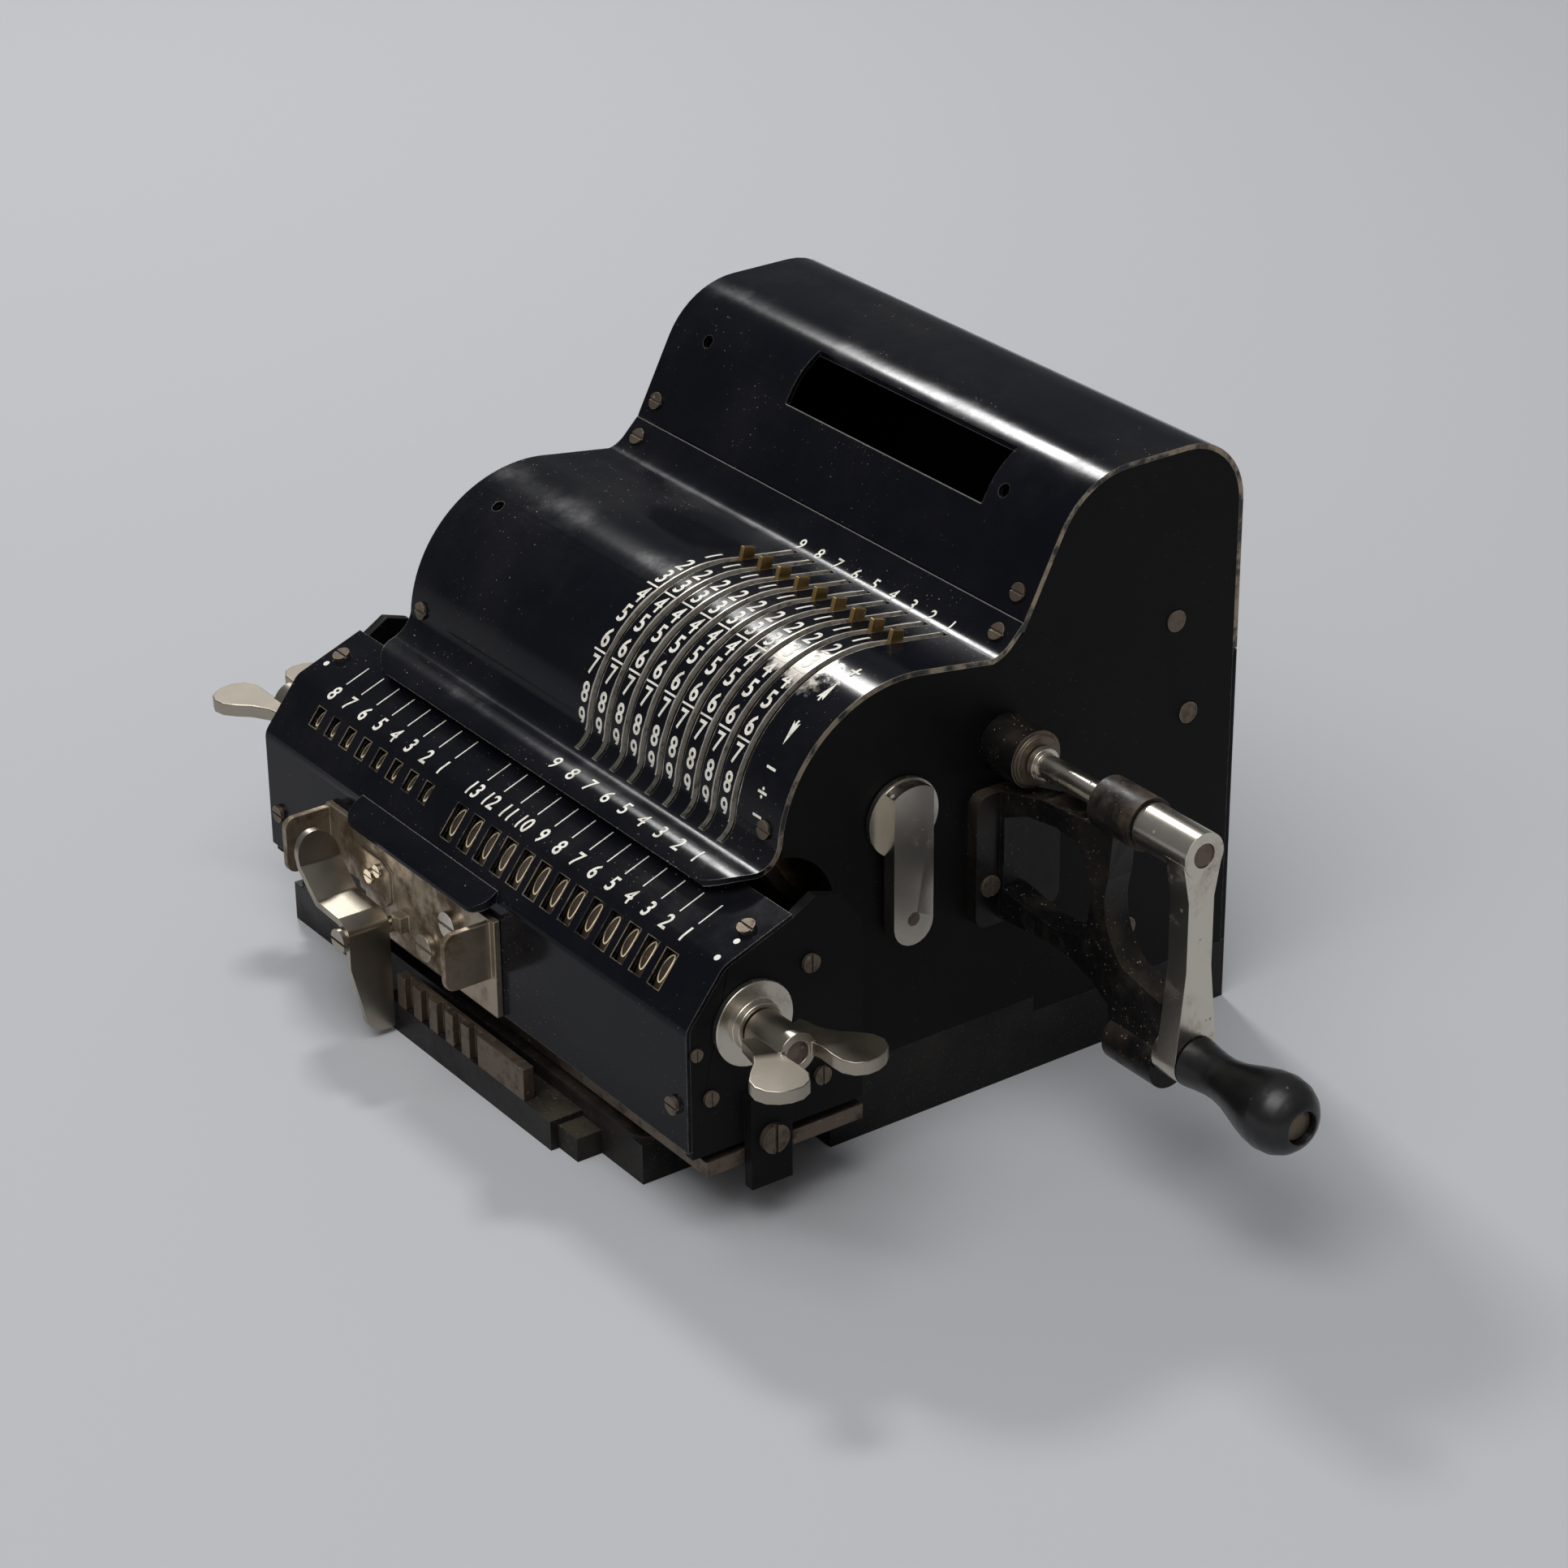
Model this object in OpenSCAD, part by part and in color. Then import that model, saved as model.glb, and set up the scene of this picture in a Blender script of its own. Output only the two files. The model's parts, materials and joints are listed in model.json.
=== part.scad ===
// Pinwheel calculator: nine setting levers, a thirteen-digit result register, an eight-digit counter.
// X runs across the casing from its mid-plane, Y runs back from the seam between hood and front cover,
// Z rises from the underside of the base.

/* [Casing] */
// Width over both side plates
case_w = 139.5; // [120:0.5:160]
// From the seam to the outer face of the rear cover
case_back = 57.9; // [50:0.1:70]
// Thickness of the side plates
plate_t = 3; // [2:0.1:4]
// Thickness of the pressed covers
cover_t = 1.2; // [0.8:0.1:1.6]
// Outer radius of the front cover round the drum
bulge_r = 31.5; // [30:0.1:33]
// Radius of the hollow between hood and front cover
valley_r = 8; // [6:0.1:9]
// Radius of the hollow at the foot of the front cover
toe_r = 6; // [5:0.1:7]
// Radius of the rolled lip over the carriage
lip_r = 12; // [10:0.1:13]
// Overhang of the lip in front of the toe
lip_reach = 7.5; // [6:0.1:8]
// Radius of the lip's corners in plan
lip_corner_r = 12; // [8:0.5:14]
// Height of the hood
hood_h = 134.1; // [130:0.1:140]
// Radius of the hood's front bend
hood_front_r = 20.3; // [18:0.1:22]
// Radius of the hood's rear bend
hood_rear_r = 15.8; // [13:0.1:18]
// From the seam back to the centre of the front bend
hood_bend_y = 27; // [26:0.1:30]
// Height of the joint between hood and rear cover
rear_seam_z = 84; // [70:0.5:95]
// Gap left between neighbouring sheets
sheet_gap = 0.3; // [0.2:0.05:0.5]

/* [Hood window] */
// Width of the window
window_w = 68.8; // [50:0.1:72]
// Centre of the window from the mid-plane
window_x = 10.8; // [5:0.1:14]
// Front edge of the window behind the seam
window_y = 8.2; // [6:0.1:9]
// Depth of the window
window_d = 9.3; // [8:0.1:12]

/* [Setting slots and levers] */
// Pitch of the slots, which is also one step of the carriage
pitch = 6.5; // [6:0.05:6.8]
// Number of setting levers
levers = 9; // [9:1:9]
// From the right face of the casing to the slot of the units lever
units_inset = 15.35; // [14:0.05:17]
// Width of a slot
slot_w = 1.8; // [1.7:0.05:2.2]
// How far the lever tips stand out of the front cover
tip_out = 3; // [2.5:0.05:3.1]
// Thickness of a lever's tab
tab_t = 1.2; // [0.9:0.05:1.3]
// Length of a lever's tab round the drum
tab_l = 3.2; // [2.5:0.1:4]
// Thickness of a lever's ring
ring_t = 1.4; // [1:0.05:1.6]
// From the front cover's outer face down to a lever's ring
ring_gap = 7.5; // [5.5:0.1:11]
// Angle of a lever at nought, back from the top of the drum
zero_angle = 16.5; // [12:0.5:18]

/* [Drum] */
// Drum axis in front of the seam
drum_y = -30; // [-31:0.1:-29]
// Height of the drum axis
drum_z = 71.5; // [70:0.1:73]
// Radius of the drum shaft
drum_shaft_r = 5; // [4:0.1:6]
// From the front cover's outer face down to a pinwheel
wheel_gap = 5; // [3.5:0.1:6.5]
// Thickness of a pinwheel
wheel_t = 2; // [1.6:0.05:2.1]
// Radius of a pinwheel's hub, on which the lever ring turns
wheel_hub_r = 12; // [10:0.1:14]
// Running clearance of shafts and rings
fit = 0.05; // [0.03:0.01:0.08]

/* [Crank] */
// Crank axis in front of the seam
crank_y = -4.8; // [-5.2:0.1:-4.6]
// Height of the crank axis
crank_z = 80.8; // [80.6:0.1:81.4]
// Radius of the crank shaft
crank_shaft_r = 2.6; // [2.2:0.05:2.8]
// Length of the bearing boss on the side plate
boss_l = 10.7; // [8:0.1:13]
// Radius of the bearing boss
boss_r = 6.4; // [6:0.1:7.2]
// Length of bare shaft between boss and outer bearing
bare_shaft_l = 22.3; // [18:0.1:24]
// Length of the outer bearing
outer_bearing_l = 12.5; // [10:0.1:15]
// Radius of the outer bearing
outer_bearing_r = 5.7; // [5.2:0.1:6]
// Length of the crank hub
hub_l = 16; // [13:0.1:18]
// Radius of the crank hub
hub_r = 4.9; // [4.5:0.1:5.2]
// Throw of the crank from its axis to the knob
throw = 46; // [42:0.5:48]
// Thickness of the crank arm
arm_t = 5.6; // [4.5:0.1:6]
// Width of the crank arm at its waist
arm_waist = 6.4; // [5.5:0.1:7.4]
// Radius of the arm's foot
foot_r = 5.4; // [5:0.1:5.8]
// Length of the knob
knob_l = 31.3; // [28:0.1:36]
// Greatest radius of the knob
knob_r = 8.2; // [7:0.1:9]
// Radius of the pin that carries the knob
knob_pin_r = 2; // [1.6:0.1:2.4]

/* [Clearing lever] */
// Radius of the lever's disc
disc_r = 8.7; // [8.2:0.1:9.5]
// Thickness of the lever's disc
disc_t = 1.2; // [1:0.1:1.6]
// Width of the lever
clear_w = 9.9; // [9:0.1:10.5]
// Thickness of the lever's bar
clear_t = 3.4; // [3:0.1:4]
// From the lever's axis to its tip
clear_l = 27.7; // [26:0.1:28.5]

/* [Base] */
// Height of the base at the front of the side plates
base_h = 17.7; // [16:0.1:18.5]
// Height of the base at the back
base_back_h = 14.1; // [12:0.1:15]
// Wall of the base casting
base_wall = 4; // [3:0.1:5]
// Floor of the base casting
base_floor = 3; // [2.5:0.1:4]
// Front face of the deep part of the base, in front of the seam
base_front = 48.8; // [48:0.1:48.9]
// Where the top of the base steps down, behind the seam
base_step_y = 4.6; // [3:0.1:8]
// Reach of the shelf to the right of the mid-plane
shelf_right = 58.7; // [55:0.1:60]
// Reach of the shelf to the left of the mid-plane
shelf_left = 82.7; // [80:0.1:83]
// Front edge of the shelf, in front of the seam
shelf_front = 88; // [86:0.1:89]
// Thickness of the shelf
shelf_h = 10.3; // [9:0.1:11]
// Depth of the front bar that carries the rack
bar_t = 8; // [7:0.1:8]
// Height of the front bar, on which the rack stands
bar_h = 7; // [6:0.1:8]
// Left end of the front bar from the mid-plane
bar_left = 30; // [28:0.5:34]
// Right end of the front bar
bar_right = 36.5; // [34:0.5:40]

/* [Carriage] */
// From the units window of the result register to the carriage's right end
end_room_right = 14.6; // [13:0.1:16]
// From the last counter window to the carriage's left end
end_room_left = 14.3; // [13:0.1:16]
// Front face of the carriage, in front of the seam
carriage_front = 92.4; // [92:0.1:94]
// Height of the carriage's lower front edge
carriage_low = 20.6; // [19:0.1:22]
// Thickness of the carriage cover
carriage_t = 1; // [0.8:0.1:1.2]
// Thickness of the end plates
end_t = 2.5; // [2:0.1:3]
// Thickness of the runners
runner_t = 3.4; // [3:0.1:3.6]
// Height of the rails on the shelf
rail_h = 3; // [2.5:0.1:3.2]
// Running gap between rails and runners
rail_gap = 0.1; // [0.05:0.05:0.2]

/* [Registers] */
// Number of digits in the result register
result_digits = 13; // [13:1:13]
// Number of digits in the counter
counter_digits = 8; // [8:1:8]
// Steps that the carriage stands to the right of its first place
carriage_steps = 2; // [2:1:2]
// Axis of the number wheels in front of the seam
axle_y = -77; // [-77.5:0.1:-76.5]
// Height of the number wheels' axis
axle_z = 45.7; // [45.2:0.1:46.2]
// Radius of a number wheel
number_r = 12; // [11:0.1:12.4]
// Thickness of a number wheel
number_t = 5.2; // [4.5:0.1:5.8]
// Radius of the axles
axle_r = 2.6; // [2.2:0.1:3]
// Width of a result window
result_win_w = 3.9; // [3:0.1:4.4]
// Height of a result window
result_win_h = 8; // [6:0.1:8.6]
// Width of a counter window
counter_win_w = 3; // [2.5:0.1:4]
// Height of a counter window
counter_win_h = 4.6; // [4:0.1:6]

/* [Wing nuts] */
// Radius of the flange that carries an axle
flange_r = 9.3; // [8.5:0.1:10]
// Thickness of the flange
flange_t = 1.6; // [1.2:0.1:2]
// Radius of a wing nut's hub
wing_hub_r = 4.4; // [4:0.1:5]
// Length of a wing nut's hub
wing_hub_l = 12; // [10:0.1:14]
// Reach of a wing outwards along the axle
wing_reach = 20; // [16:0.5:22]
// Spread of a wing from the axle
wing_spread = 12.5; // [10:0.1:13]
// Thickness of a wing
wing_t = 3; // [2.4:0.1:3.4]

/* [Carriage keys] */
// Thickness of the key plate and levers
key_t = 1.6; // [1.2:0.1:1.8]
// Left end of the key plate
key_left = -54.5; // [-56:0.5:-52]
// Right end of the key plate
key_right = 14.1; // [13:0.1:16]
// Length of the finger tab at the right of the key plate
finger_l = 12.8; // [11:0.1:14]
// Plane of the shift lever's blade
blade_x = -25.6; // [-26:0.1:-25]
// Width of the shift lever
blade_w = 10; // [8:0.1:10.4]

/* [Rack] */
// Teeth of the rack
rack_teeth = 5; // [4:1:5]
// Thickness of the rack
rack_t = 2.7; // [2:0.1:3]
// Height of the rack's upper edge
rack_top = 14.6; // [13:0.1:15]
// Left end of the rack
rack_left = -24; // [-26:0.1:-22]
// Right end of the rack
rack_right = 26.5; // [24:0.1:34]

/* [Hidden] */
$fn = 64;

// Colours of the finishes
paint = [0.03, 0.03, 0.045];
nickel = [0.72, 0.69, 0.62];
brass = [0.62, 0.46, 0.22];
steel = [0.5, 0.48, 0.45];
black = [0.04, 0.04, 0.04];
dark = [0.13, 0.08, 0.05];

// Overrun of the cuts
over = 1;
half_w = case_w / 2;
inner_w = half_w - plate_t;
units_x = half_w - units_inset;
tip_r = bulge_r + tip_out;
ring_r = bulge_r - ring_gap;
wheel_r = bulge_r - wheel_gap;

// Slopes of the sheets, in degrees
hood_slope = 62.5;
valley_slope = 45;
lip_turn = asin(lip_reach / lip_r);

// Centres of the bends, from the named radii
hood_front_c = [hood_bend_y, hood_h - hood_front_r];
hood_rear_c = [case_back - hood_rear_r, hood_h - hood_rear_r];
hood_foot = hood_front_c + hood_front_r * [cos(hood_slope + 90), sin(hood_slope + 90)];
seam_z = hood_foot[1] - hood_foot[0] * tan(hood_slope);
drum_c = [drum_y, drum_z];
valley_y_share = 0.31;
valley_y = drum_y * valley_y_share;
valley_c = [valley_y, seam_z + valley_y + 2 * valley_r * cos(valley_slope)];
valley_low = [valley_c[0], valley_c[1] - valley_r];
toe_rise_share = 0.127;
toe_z = drum_z + bulge_r * toe_rise_share;
toe_meet = drum_y - sqrt(pow(bulge_r, 2) - pow(toe_z - drum_z, 2));
toe_c = [toe_meet - toe_r, toe_z];
lip_c = [toe_c[0], toe_c[1] - toe_r - lip_r];
lip_edge_y = toe_c[0] - lip_reach;

// Where the flat behind the bulge touches the drum's arc
valley_gap = norm(valley_low - drum_c);
bulge_top = atan2(valley_low[1] - drum_z, valley_low[0] - drum_y) + acos(bulge_r / valley_gap);
bulge_end = 180 - asin((toe_z - drum_z) / bulge_r);

// Points along an arc, from angle a to angle b
function arc(c, r, a, b, n) = [for (i = [0:n]) let (t = a + (b - a) * i / n) c + r * [cos(t), sin(t)]];
function flip(p) = [for (i = [len(p) - 1:-1:0]) p[i]];
function unit(v) = v / norm(v);
function left_of(v) = [-v[1], v[0]];

// A path of straight runs moved sideways by d, and one with its corners rounded
function side_step(p, d) = [for (i = [0:len(p) - 1])
    let (a = left_of(unit(p[max(i, 1)] - p[max(i, 1) - 1])),
        b = left_of(unit(p[min(i + 1, len(p) - 1)] - p[min(i, len(p) - 2)])))
    p[i] + d * (a + b) / (1 + a * b)];
function rounded(p, r, n) = [for (i = [0:len(p) - 1])
    let (u = i == 0 ? p[0] : unit(p[i] - p[i - 1]),
        v = i == len(p) - 1 ? p[0] : unit(p[min(i + 1, len(p) - 1)] - p[i]),
        turn = (i == 0 || i == len(p) - 1) ? 0 : acos(u * v),
        side = (i == 0 || i == len(p) - 1) ? 1 : sign(u[0] * v[1] - u[1] * v[0]),
        start = p[i] - u * r * tan(turn / 2))
    each turn == 0 ? [p[i]] :
        [for (k = [0:n]) let (t = turn * k / n)
            start + r * (sin(t) * u + side * (1 - cos(t)) * left_of(u))]];

// A closed outline with its corners rounded
function loop(p, r, n) = [for (i = [0:len(p) - 1])
    let (u = unit(p[i] - p[(i + len(p) - 1) % len(p)]),
        v = unit(p[(i + 1) % len(p)] - p[i]),
        turn = acos(u * v),
        side = sign(u[0] * v[1] - u[1] * v[0]),
        start = p[i] - u * r * tan(turn / 2))
    for (k = [0:n]) let (t = turn * k / n) start + r * (sin(t) * u + side * (1 - cos(t)) * left_of(u))];

// Profile of the front cover from seam to lip, moved inwards by o
bend_steps = 10;
bulge_steps = 28;
function cover_path(o) = concat(
    [[0, valley_c[1] - (valley_r + o) * sin(valley_slope)
        - (valley_c[0] + (valley_r + o) * cos(valley_slope)) * tan(valley_slope)]],
    arc(valley_c, valley_r + o, -valley_slope, -90 - (bulge_top - 90), bend_steps),
    arc(drum_c, bulge_r - o, 180 - bulge_top - 2 * (90 - bulge_top), bulge_end, bulge_steps),
    arc(toe_c, toe_r + o, 0, -90, bend_steps),
    arc(lip_c, lip_r - o, 90, 90 + lip_turn, bend_steps));

// Profile of the hood from seam to its rear edge, moved inwards by o
function hood_path(o) = concat(
    [[sheet_gap / 2, hood_foot[1] - (hood_foot[0] - sheet_gap / 2) * tan(hood_slope) - o / cos(hood_slope)]],
    arc(hood_front_c, hood_front_r - o, hood_slope + 90, 90, bend_steps),
    arc(hood_rear_c, hood_rear_r - o, 90, 0, bend_steps),
    [[case_back - o, rear_seam_z + sheet_gap]]);

// Places of things along the carriage
function result_x(d) = units_x + (carriage_steps - d + 1) * pitch;
counter_first_x = units_x + (carriage_steps - result_digits - 1) * pitch;
function counter_x(d) = counter_first_x - (d - 1) * pitch;
function lever_x(d) = units_x - (d - 1) * pitch;
middle_x = (result_x(result_digits) + counter_x(1)) / 2;
carriage_right = result_x(1) + end_room_right;
carriage_left = counter_x(counter_digits) - end_room_left;
carriage_l = carriage_right - carriage_left;

// Corners of the carriage's profile, in front of the seam and above the ground
face_foot = [-carriage_front, carriage_low];
face_bend_z = 48.3;
face_top = [-83.4, 59.9];
roof_back = [-66.8, 66.2];
face_bend_r = 4;
carriage_line = [face_foot, [-carriage_front, face_bend_z], face_top, roof_back];
function carriage_path(o) = rounded(side_step(carriage_line, -o), face_bend_r - o, 6);
face_dir = unit(face_top - carriage_line[1]);
face_tilt = atan2(face_dir[1], face_dir[0]);
// Upper edge of the windows, measured down the face from its top bend
window_drop = 3;

// Outline of the carriage's end plates behind the cover
end_foot_z = 18.6;
end_back_y = -49.5;
end_back = [[end_back_y, end_foot_z], [end_back_y, 59.2], [-55.2, 66.6], [-61.1, 68.5]];

// Runners and rails
shelf_rail_w = 2;
front_rail_y = -79.5;
rear_rail_y = -59;
runner_z = shelf_h + rail_h + rail_gap;
front_runner = [-88, -78.4];
rear_runner = [-67, end_back_y];

// Screws of the casing
screw_head_r = 2;
screw_head_h = 0.7;
screw_shank_r = 1.1;
screw_l = 4;
screw_inset = 4.6;
screw_slot_w = 0.5;
screw_slot_d = 0.35;
seat = 0.02;
screw_x = half_w - screw_inset;
hood_screw_y = 2.3;
toe_screw_z = 76;
valley_screw_y = -3;
hole_r = 1.5;

// Along the crank, from the side plate outwards
boss_end = half_w + boss_l;
collar_t = 1;
collar_r = 5.5;
bearing_x = boss_end + collar_t + bare_shaft_l - sheet_gap;
bearing_end = bearing_x + outer_bearing_l;
hub_x = bearing_end + sheet_gap;
hub_end = hub_x + hub_l;
knob_z = crank_z - throw;
arm_out = hub_end - sheet_gap;
foot_t = 7;

// Gears between crank and drum, one to one
gear_teeth = 20;
gear_t = 5;
gear_gap = 0.25;
bush_r = 8;
bush_l = 6;
crank_bush_r = 4.2;
gear_x = half_w - bush_l - gear_t - gear_gap;
gear_axes = norm([crank_y - drum_y, crank_z - drum_z]);
gear_line = atan2(crank_z - drum_z, crank_y - drum_y);
gear_pitch_r = gear_axes / 2;
gear_module = 2 * gear_pitch_r / gear_teeth;
gear_tip_share = 0.85;
gear_root_share = 1.2;
gear_tooth_root_share = 0.3;
gear_tooth_tip_share = 0.13;

// Bars and bosses of the crank bracket, in the plane of the crank shaft
web_t = 6;
pad_t = 3.2;
pad_w = 22;
pad_low = 41;
pad_high = 71.5;
pad_r = 3;
pad_shift = 2;
mouth_c = [-2.6, 60.5];
mouth_r = 15.4;
rest_r = 5.3;
rest_z = 30.5;
rest_gap = 0.5;
rest_x = arm_out - foot_t - rest_gap;
rest_l = 15;
web_top = [17, 75];
// Underside of the web and its window, out from the side plate
leg_line = [[38.4, 37.7], [33.7, 40.7], [26.4, 43.1], [16.7, 43.4], [3.2, 42.2]];
web_window = [[4.6, 49.5], [4.6, 66], [12, 69.3], [21, 70.6], [28, 69.6], [31.6, 65.2], [32.3, 59.6],
    [31.6, 54.2], [29, 49.5], [21.5, 47.6], [12, 48.2]];
rod_r = 2.4;
rod_places = [[40.6, 95.2], [44.7, 73], [29.5, 26.4]];

// A cylinder along X
module rod(r, x0, x1, y = 0, z = 0) {
    translate([x0, y, z]) rotate([0, 90, 0]) cylinder(r = r, h = x1 - x0);
}

// A profile drawn in Y and Z, from x0 to x1
module across(x0, x1) {
    translate([x0, 0, 0]) rotate([90, 0, 90]) linear_extrude(height = x1 - x0) children();
}

// A profile drawn in X and Z, from y0 to y1
module along(y0, y1) {
    translate([0, y1, 0]) rotate([90, 0, 0]) linear_extrude(height = y1 - y0) children();
}

// A slotted screw whose head lies on z = 0 with its shank below
module screw(head_r = screw_head_r, l = screw_l) {
    difference() {
        translate([0, 0, seat]) cylinder(r = head_r, h = screw_head_h);
        translate([-head_r - over, -screw_slot_w / 2, screw_head_h - screw_slot_d])
            cube([2 * (head_r + over), screw_slot_w, screw_slot_d + over]);
    }
    translate([0, 0, seat - l]) cylinder(r = screw_shank_r, h = l);
}

module screw_hole(r = screw_shank_r + 2 * fit) {
    translate([0, 0, -screw_l]) cylinder(r = r, h = 2 * screw_l);
}

// Places on the covers: side, distance from the mid-plane, point and outward angle of the profile
hood_screw_at = [hood_screw_y, hood_foot[1] - (hood_foot[0] - hood_screw_y) * tan(hood_slope)];
valley_screw_at = [valley_screw_y, valley_c[1] - valley_r * sin(valley_slope)
    + (valley_screw_y - valley_c[0] - valley_r * cos(valley_slope)) * tan(valley_slope)];
toe_screw_at = [drum_y - sqrt(pow(bulge_r, 2) - pow(toe_screw_z - drum_z, 2)), toe_screw_z];

module on_cover(x, at, angle) {
    translate([x, at[0], at[1]]) rotate([angle - 90, 0, 0]) children();
}

module hood_screws() {
    for (s = [-1, 1]) on_cover(s * screw_x, hood_screw_at, hood_slope + 90) children();
}

module front_screws() {
    for (s = [-1, 1]) on_cover(s * screw_x, valley_screw_at, valley_slope + 90) children();
    for (s = [-1, 1]) on_cover(s * screw_x, toe_screw_at, 180 - asin((toe_screw_z - drum_z) / bulge_r)) children();
}

// Heights of the rear cover's screws, as shares of its top edge
rear_screw_shares = [1 / 3, 0.9];
module rear_screws() {
    for (s = [-1, 1], share = rear_screw_shares)
        translate([s * screw_x, case_back, rear_seam_z * share]) rotate([-90, 0, 0]) children();
}

// Cast base with the shelf, the rails and the front bar
module base_frame() {
    color(paint) {
        difference() {
            across(-half_w, half_w) polygon([[-base_front, 0], [case_back, 0], [case_back, base_back_h],
                [base_step_y, base_back_h], [base_step_y, base_h], [-base_front, base_h]]);
            translate([-half_w + base_wall, -base_front + base_wall, base_floor])
                cube([case_w - 2 * base_wall, case_back + base_front - 2 * base_wall, base_h]);
        }
        shelf();
        translate([-bar_left, -shelf_front - bar_t, 0]) cube([bar_left + bar_right, bar_t + over, bar_h]);
        translate([bar_right - over, -shelf_front - bar_t * 0.75, 0]) cube([bar_t, bar_t, bar_h * 0.8]);
        for (y = [front_rail_y, rear_rail_y]) translate([-shelf_left, y - shelf_rail_w / 2, shelf_h])
            cube([shelf_left + shelf_right, shelf_rail_w, rail_h]);
    }
}

shelf_corner_r = 5;
shelf_lip = 1;
module shelf() {
    translate([-shelf_left, -shelf_front, 0])
        cube([shelf_left + shelf_right, shelf_front - base_front + over, shelf_h - shelf_lip]);
    linear_extrude(height = shelf_h) polygon(concat(
        [[shelf_right, -base_front + over], [-shelf_left, -base_front + over]],
        arc([-shelf_left + shelf_corner_r, -shelf_front + shelf_corner_r], shelf_corner_r, 180, 270, bend_steps),
        arc([shelf_right - shelf_corner_r, -shelf_front + shelf_corner_r], shelf_corner_r, -90, 0, bend_steps)));
}

// Toothed rack on the front bar
module shift_rack() {
    y = -shelf_front - bar_t;
    tooth_gap = pitch / 2;
    gap_depth = rack_t * 0.6;
    rack_h = rack_top - bar_h - seat;
    color(nickel) difference() {
        translate([rack_left, y, bar_h + seat]) cube([rack_right - rack_left, rack_t, rack_h]);
        for (i = [0:rack_teeth - 1])
            translate([rack_left + tooth_gap + i * pitch, y - over, bar_h])
                cube([tooth_gap, gap_depth + over, rack_h + over]);
    }
}

// Side plates that carry every shaft, cut back in front where the carriage passes
front_cut_r = 14.2;
front_cut_c = [-62, 57];
plate_front_y = front_cut_c[0] + front_cut_r;
plate_start = 180 - asin((front_cut_c[1] + front_cut_r - drum_z) / bulge_r);

module side_plate_outline() {
    o = cover_t + seat;
    polygon(concat(
        [[plate_front_y, base_h + seat], [plate_front_y, front_cut_c[1]]],
        arc(front_cut_c, front_cut_r, 0, 84, bend_steps),
        arc(drum_c, bulge_r - o, 180, 180 - bulge_top - 2 * (90 - bulge_top), bulge_steps),
        arc(valley_c, valley_r + o, -90 - (bulge_top - 90), -valley_slope, bend_steps),
        hood_path(o),
        [[case_back - o, base_back_h + seat], [base_step_y + seat, base_back_h + seat],
            [base_step_y + seat, base_h + seat]]));
}

module side_plate(x0) {
    difference() {
        across(x0, x0 + plate_t) side_plate_outline();
        for (p = rod_places) rod(rod_r + fit, x0 - over, x0 + plate_t + over, p[0], p[1]);
        rod(bush_r, x0 - over, x0 + plate_t + over, drum_y, drum_z);
        if (x0 > 0) rod(crank_bush_r, x0 - over, x0 + plate_t + over, crank_y, crank_z);
    }
}

module right_side_plate() {
    color(black) side_plate(inner_w);
}

module left_side_plate() {
    color(black) side_plate(-half_w);
}

// Pressed front cover with the nine setting slots
slot_back_y = -7.9;
slot_front_y = -64.7;
blank_hole_inset = 11.75;
blank_hole_x = blank_hole_inset - half_w;
blank_hole_angle = 118;
module front_cover() {
    color(paint) difference() {
        intersection() {
            across(-half_w, half_w) polygon(concat(cover_path(0), flip(cover_path(cover_t))));
            linear_extrude(height = hood_h) polygon(concat(
                [[half_w, 0], [-half_w, 0]],
                arc([-half_w + lip_corner_r, lip_edge_y + lip_corner_r], lip_corner_r, 180, 270, bend_steps),
                arc([half_w - lip_corner_r, lip_edge_y + lip_corner_r], lip_corner_r, 270, 360, bend_steps)));
        }
        for (d = [1:levers]) translate([lever_x(d) - slot_w / 2, slot_front_y, drum_z - toe_r])
            cube([slot_w, slot_back_y - slot_front_y, hood_h]);
        front_screws() screw_hole();
        translate([blank_hole_x, drum_y, drum_z]) rotate([blank_hole_angle - 90, 0, 0])
            cylinder(r = hole_r, h = bulge_r + over);
    }
}

// Hood with its window and the two empty holes beside it
hood_hole_inset = 13.45;
hood_hole_gap = 4.5;
hood_hole_x = [hood_hole_inset - half_w, window_x + window_w / 2 + hood_hole_gap];
hood_hole_angle = 145;
module hood() {
    color(paint) difference() {
        across(-half_w, half_w) polygon(concat(hood_path(0), flip(hood_path(cover_t))));
        translate([window_x - window_w / 2, window_y, seam_z]) cube([window_w, window_d, hood_h]);
        hood_screws() screw_hole();
        for (x = hood_hole_x) translate([x, hood_front_c[0], hood_front_c[1]])
            rotate([hood_hole_angle - 90, 0, 0]) cylinder(r = hole_r, h = hood_front_r + over);
    }
}

// Flat rear cover
module rear_cover() {
    color(paint) difference() {
        translate([-half_w, case_back - cover_t, base_back_h + seat])
            cube([case_w, cover_t, rear_seam_z - base_back_h - seat]);
        rear_screws() screw_hole();
    }
}

bracket_screw_at = [-10.4, 50.6];
module casing_screws() {
    color(steel) {
        hood_screws() screw();
        front_screws() screw();
        translate([half_w + pad_t, bracket_screw_at[0], bracket_screw_at[1]]) rotate([0, 90, 0])
            screw(screw_head_r * 1.2, pad_t);
        rear_screws() screw(screw_head_r, cover_t);
    }
}

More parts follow.
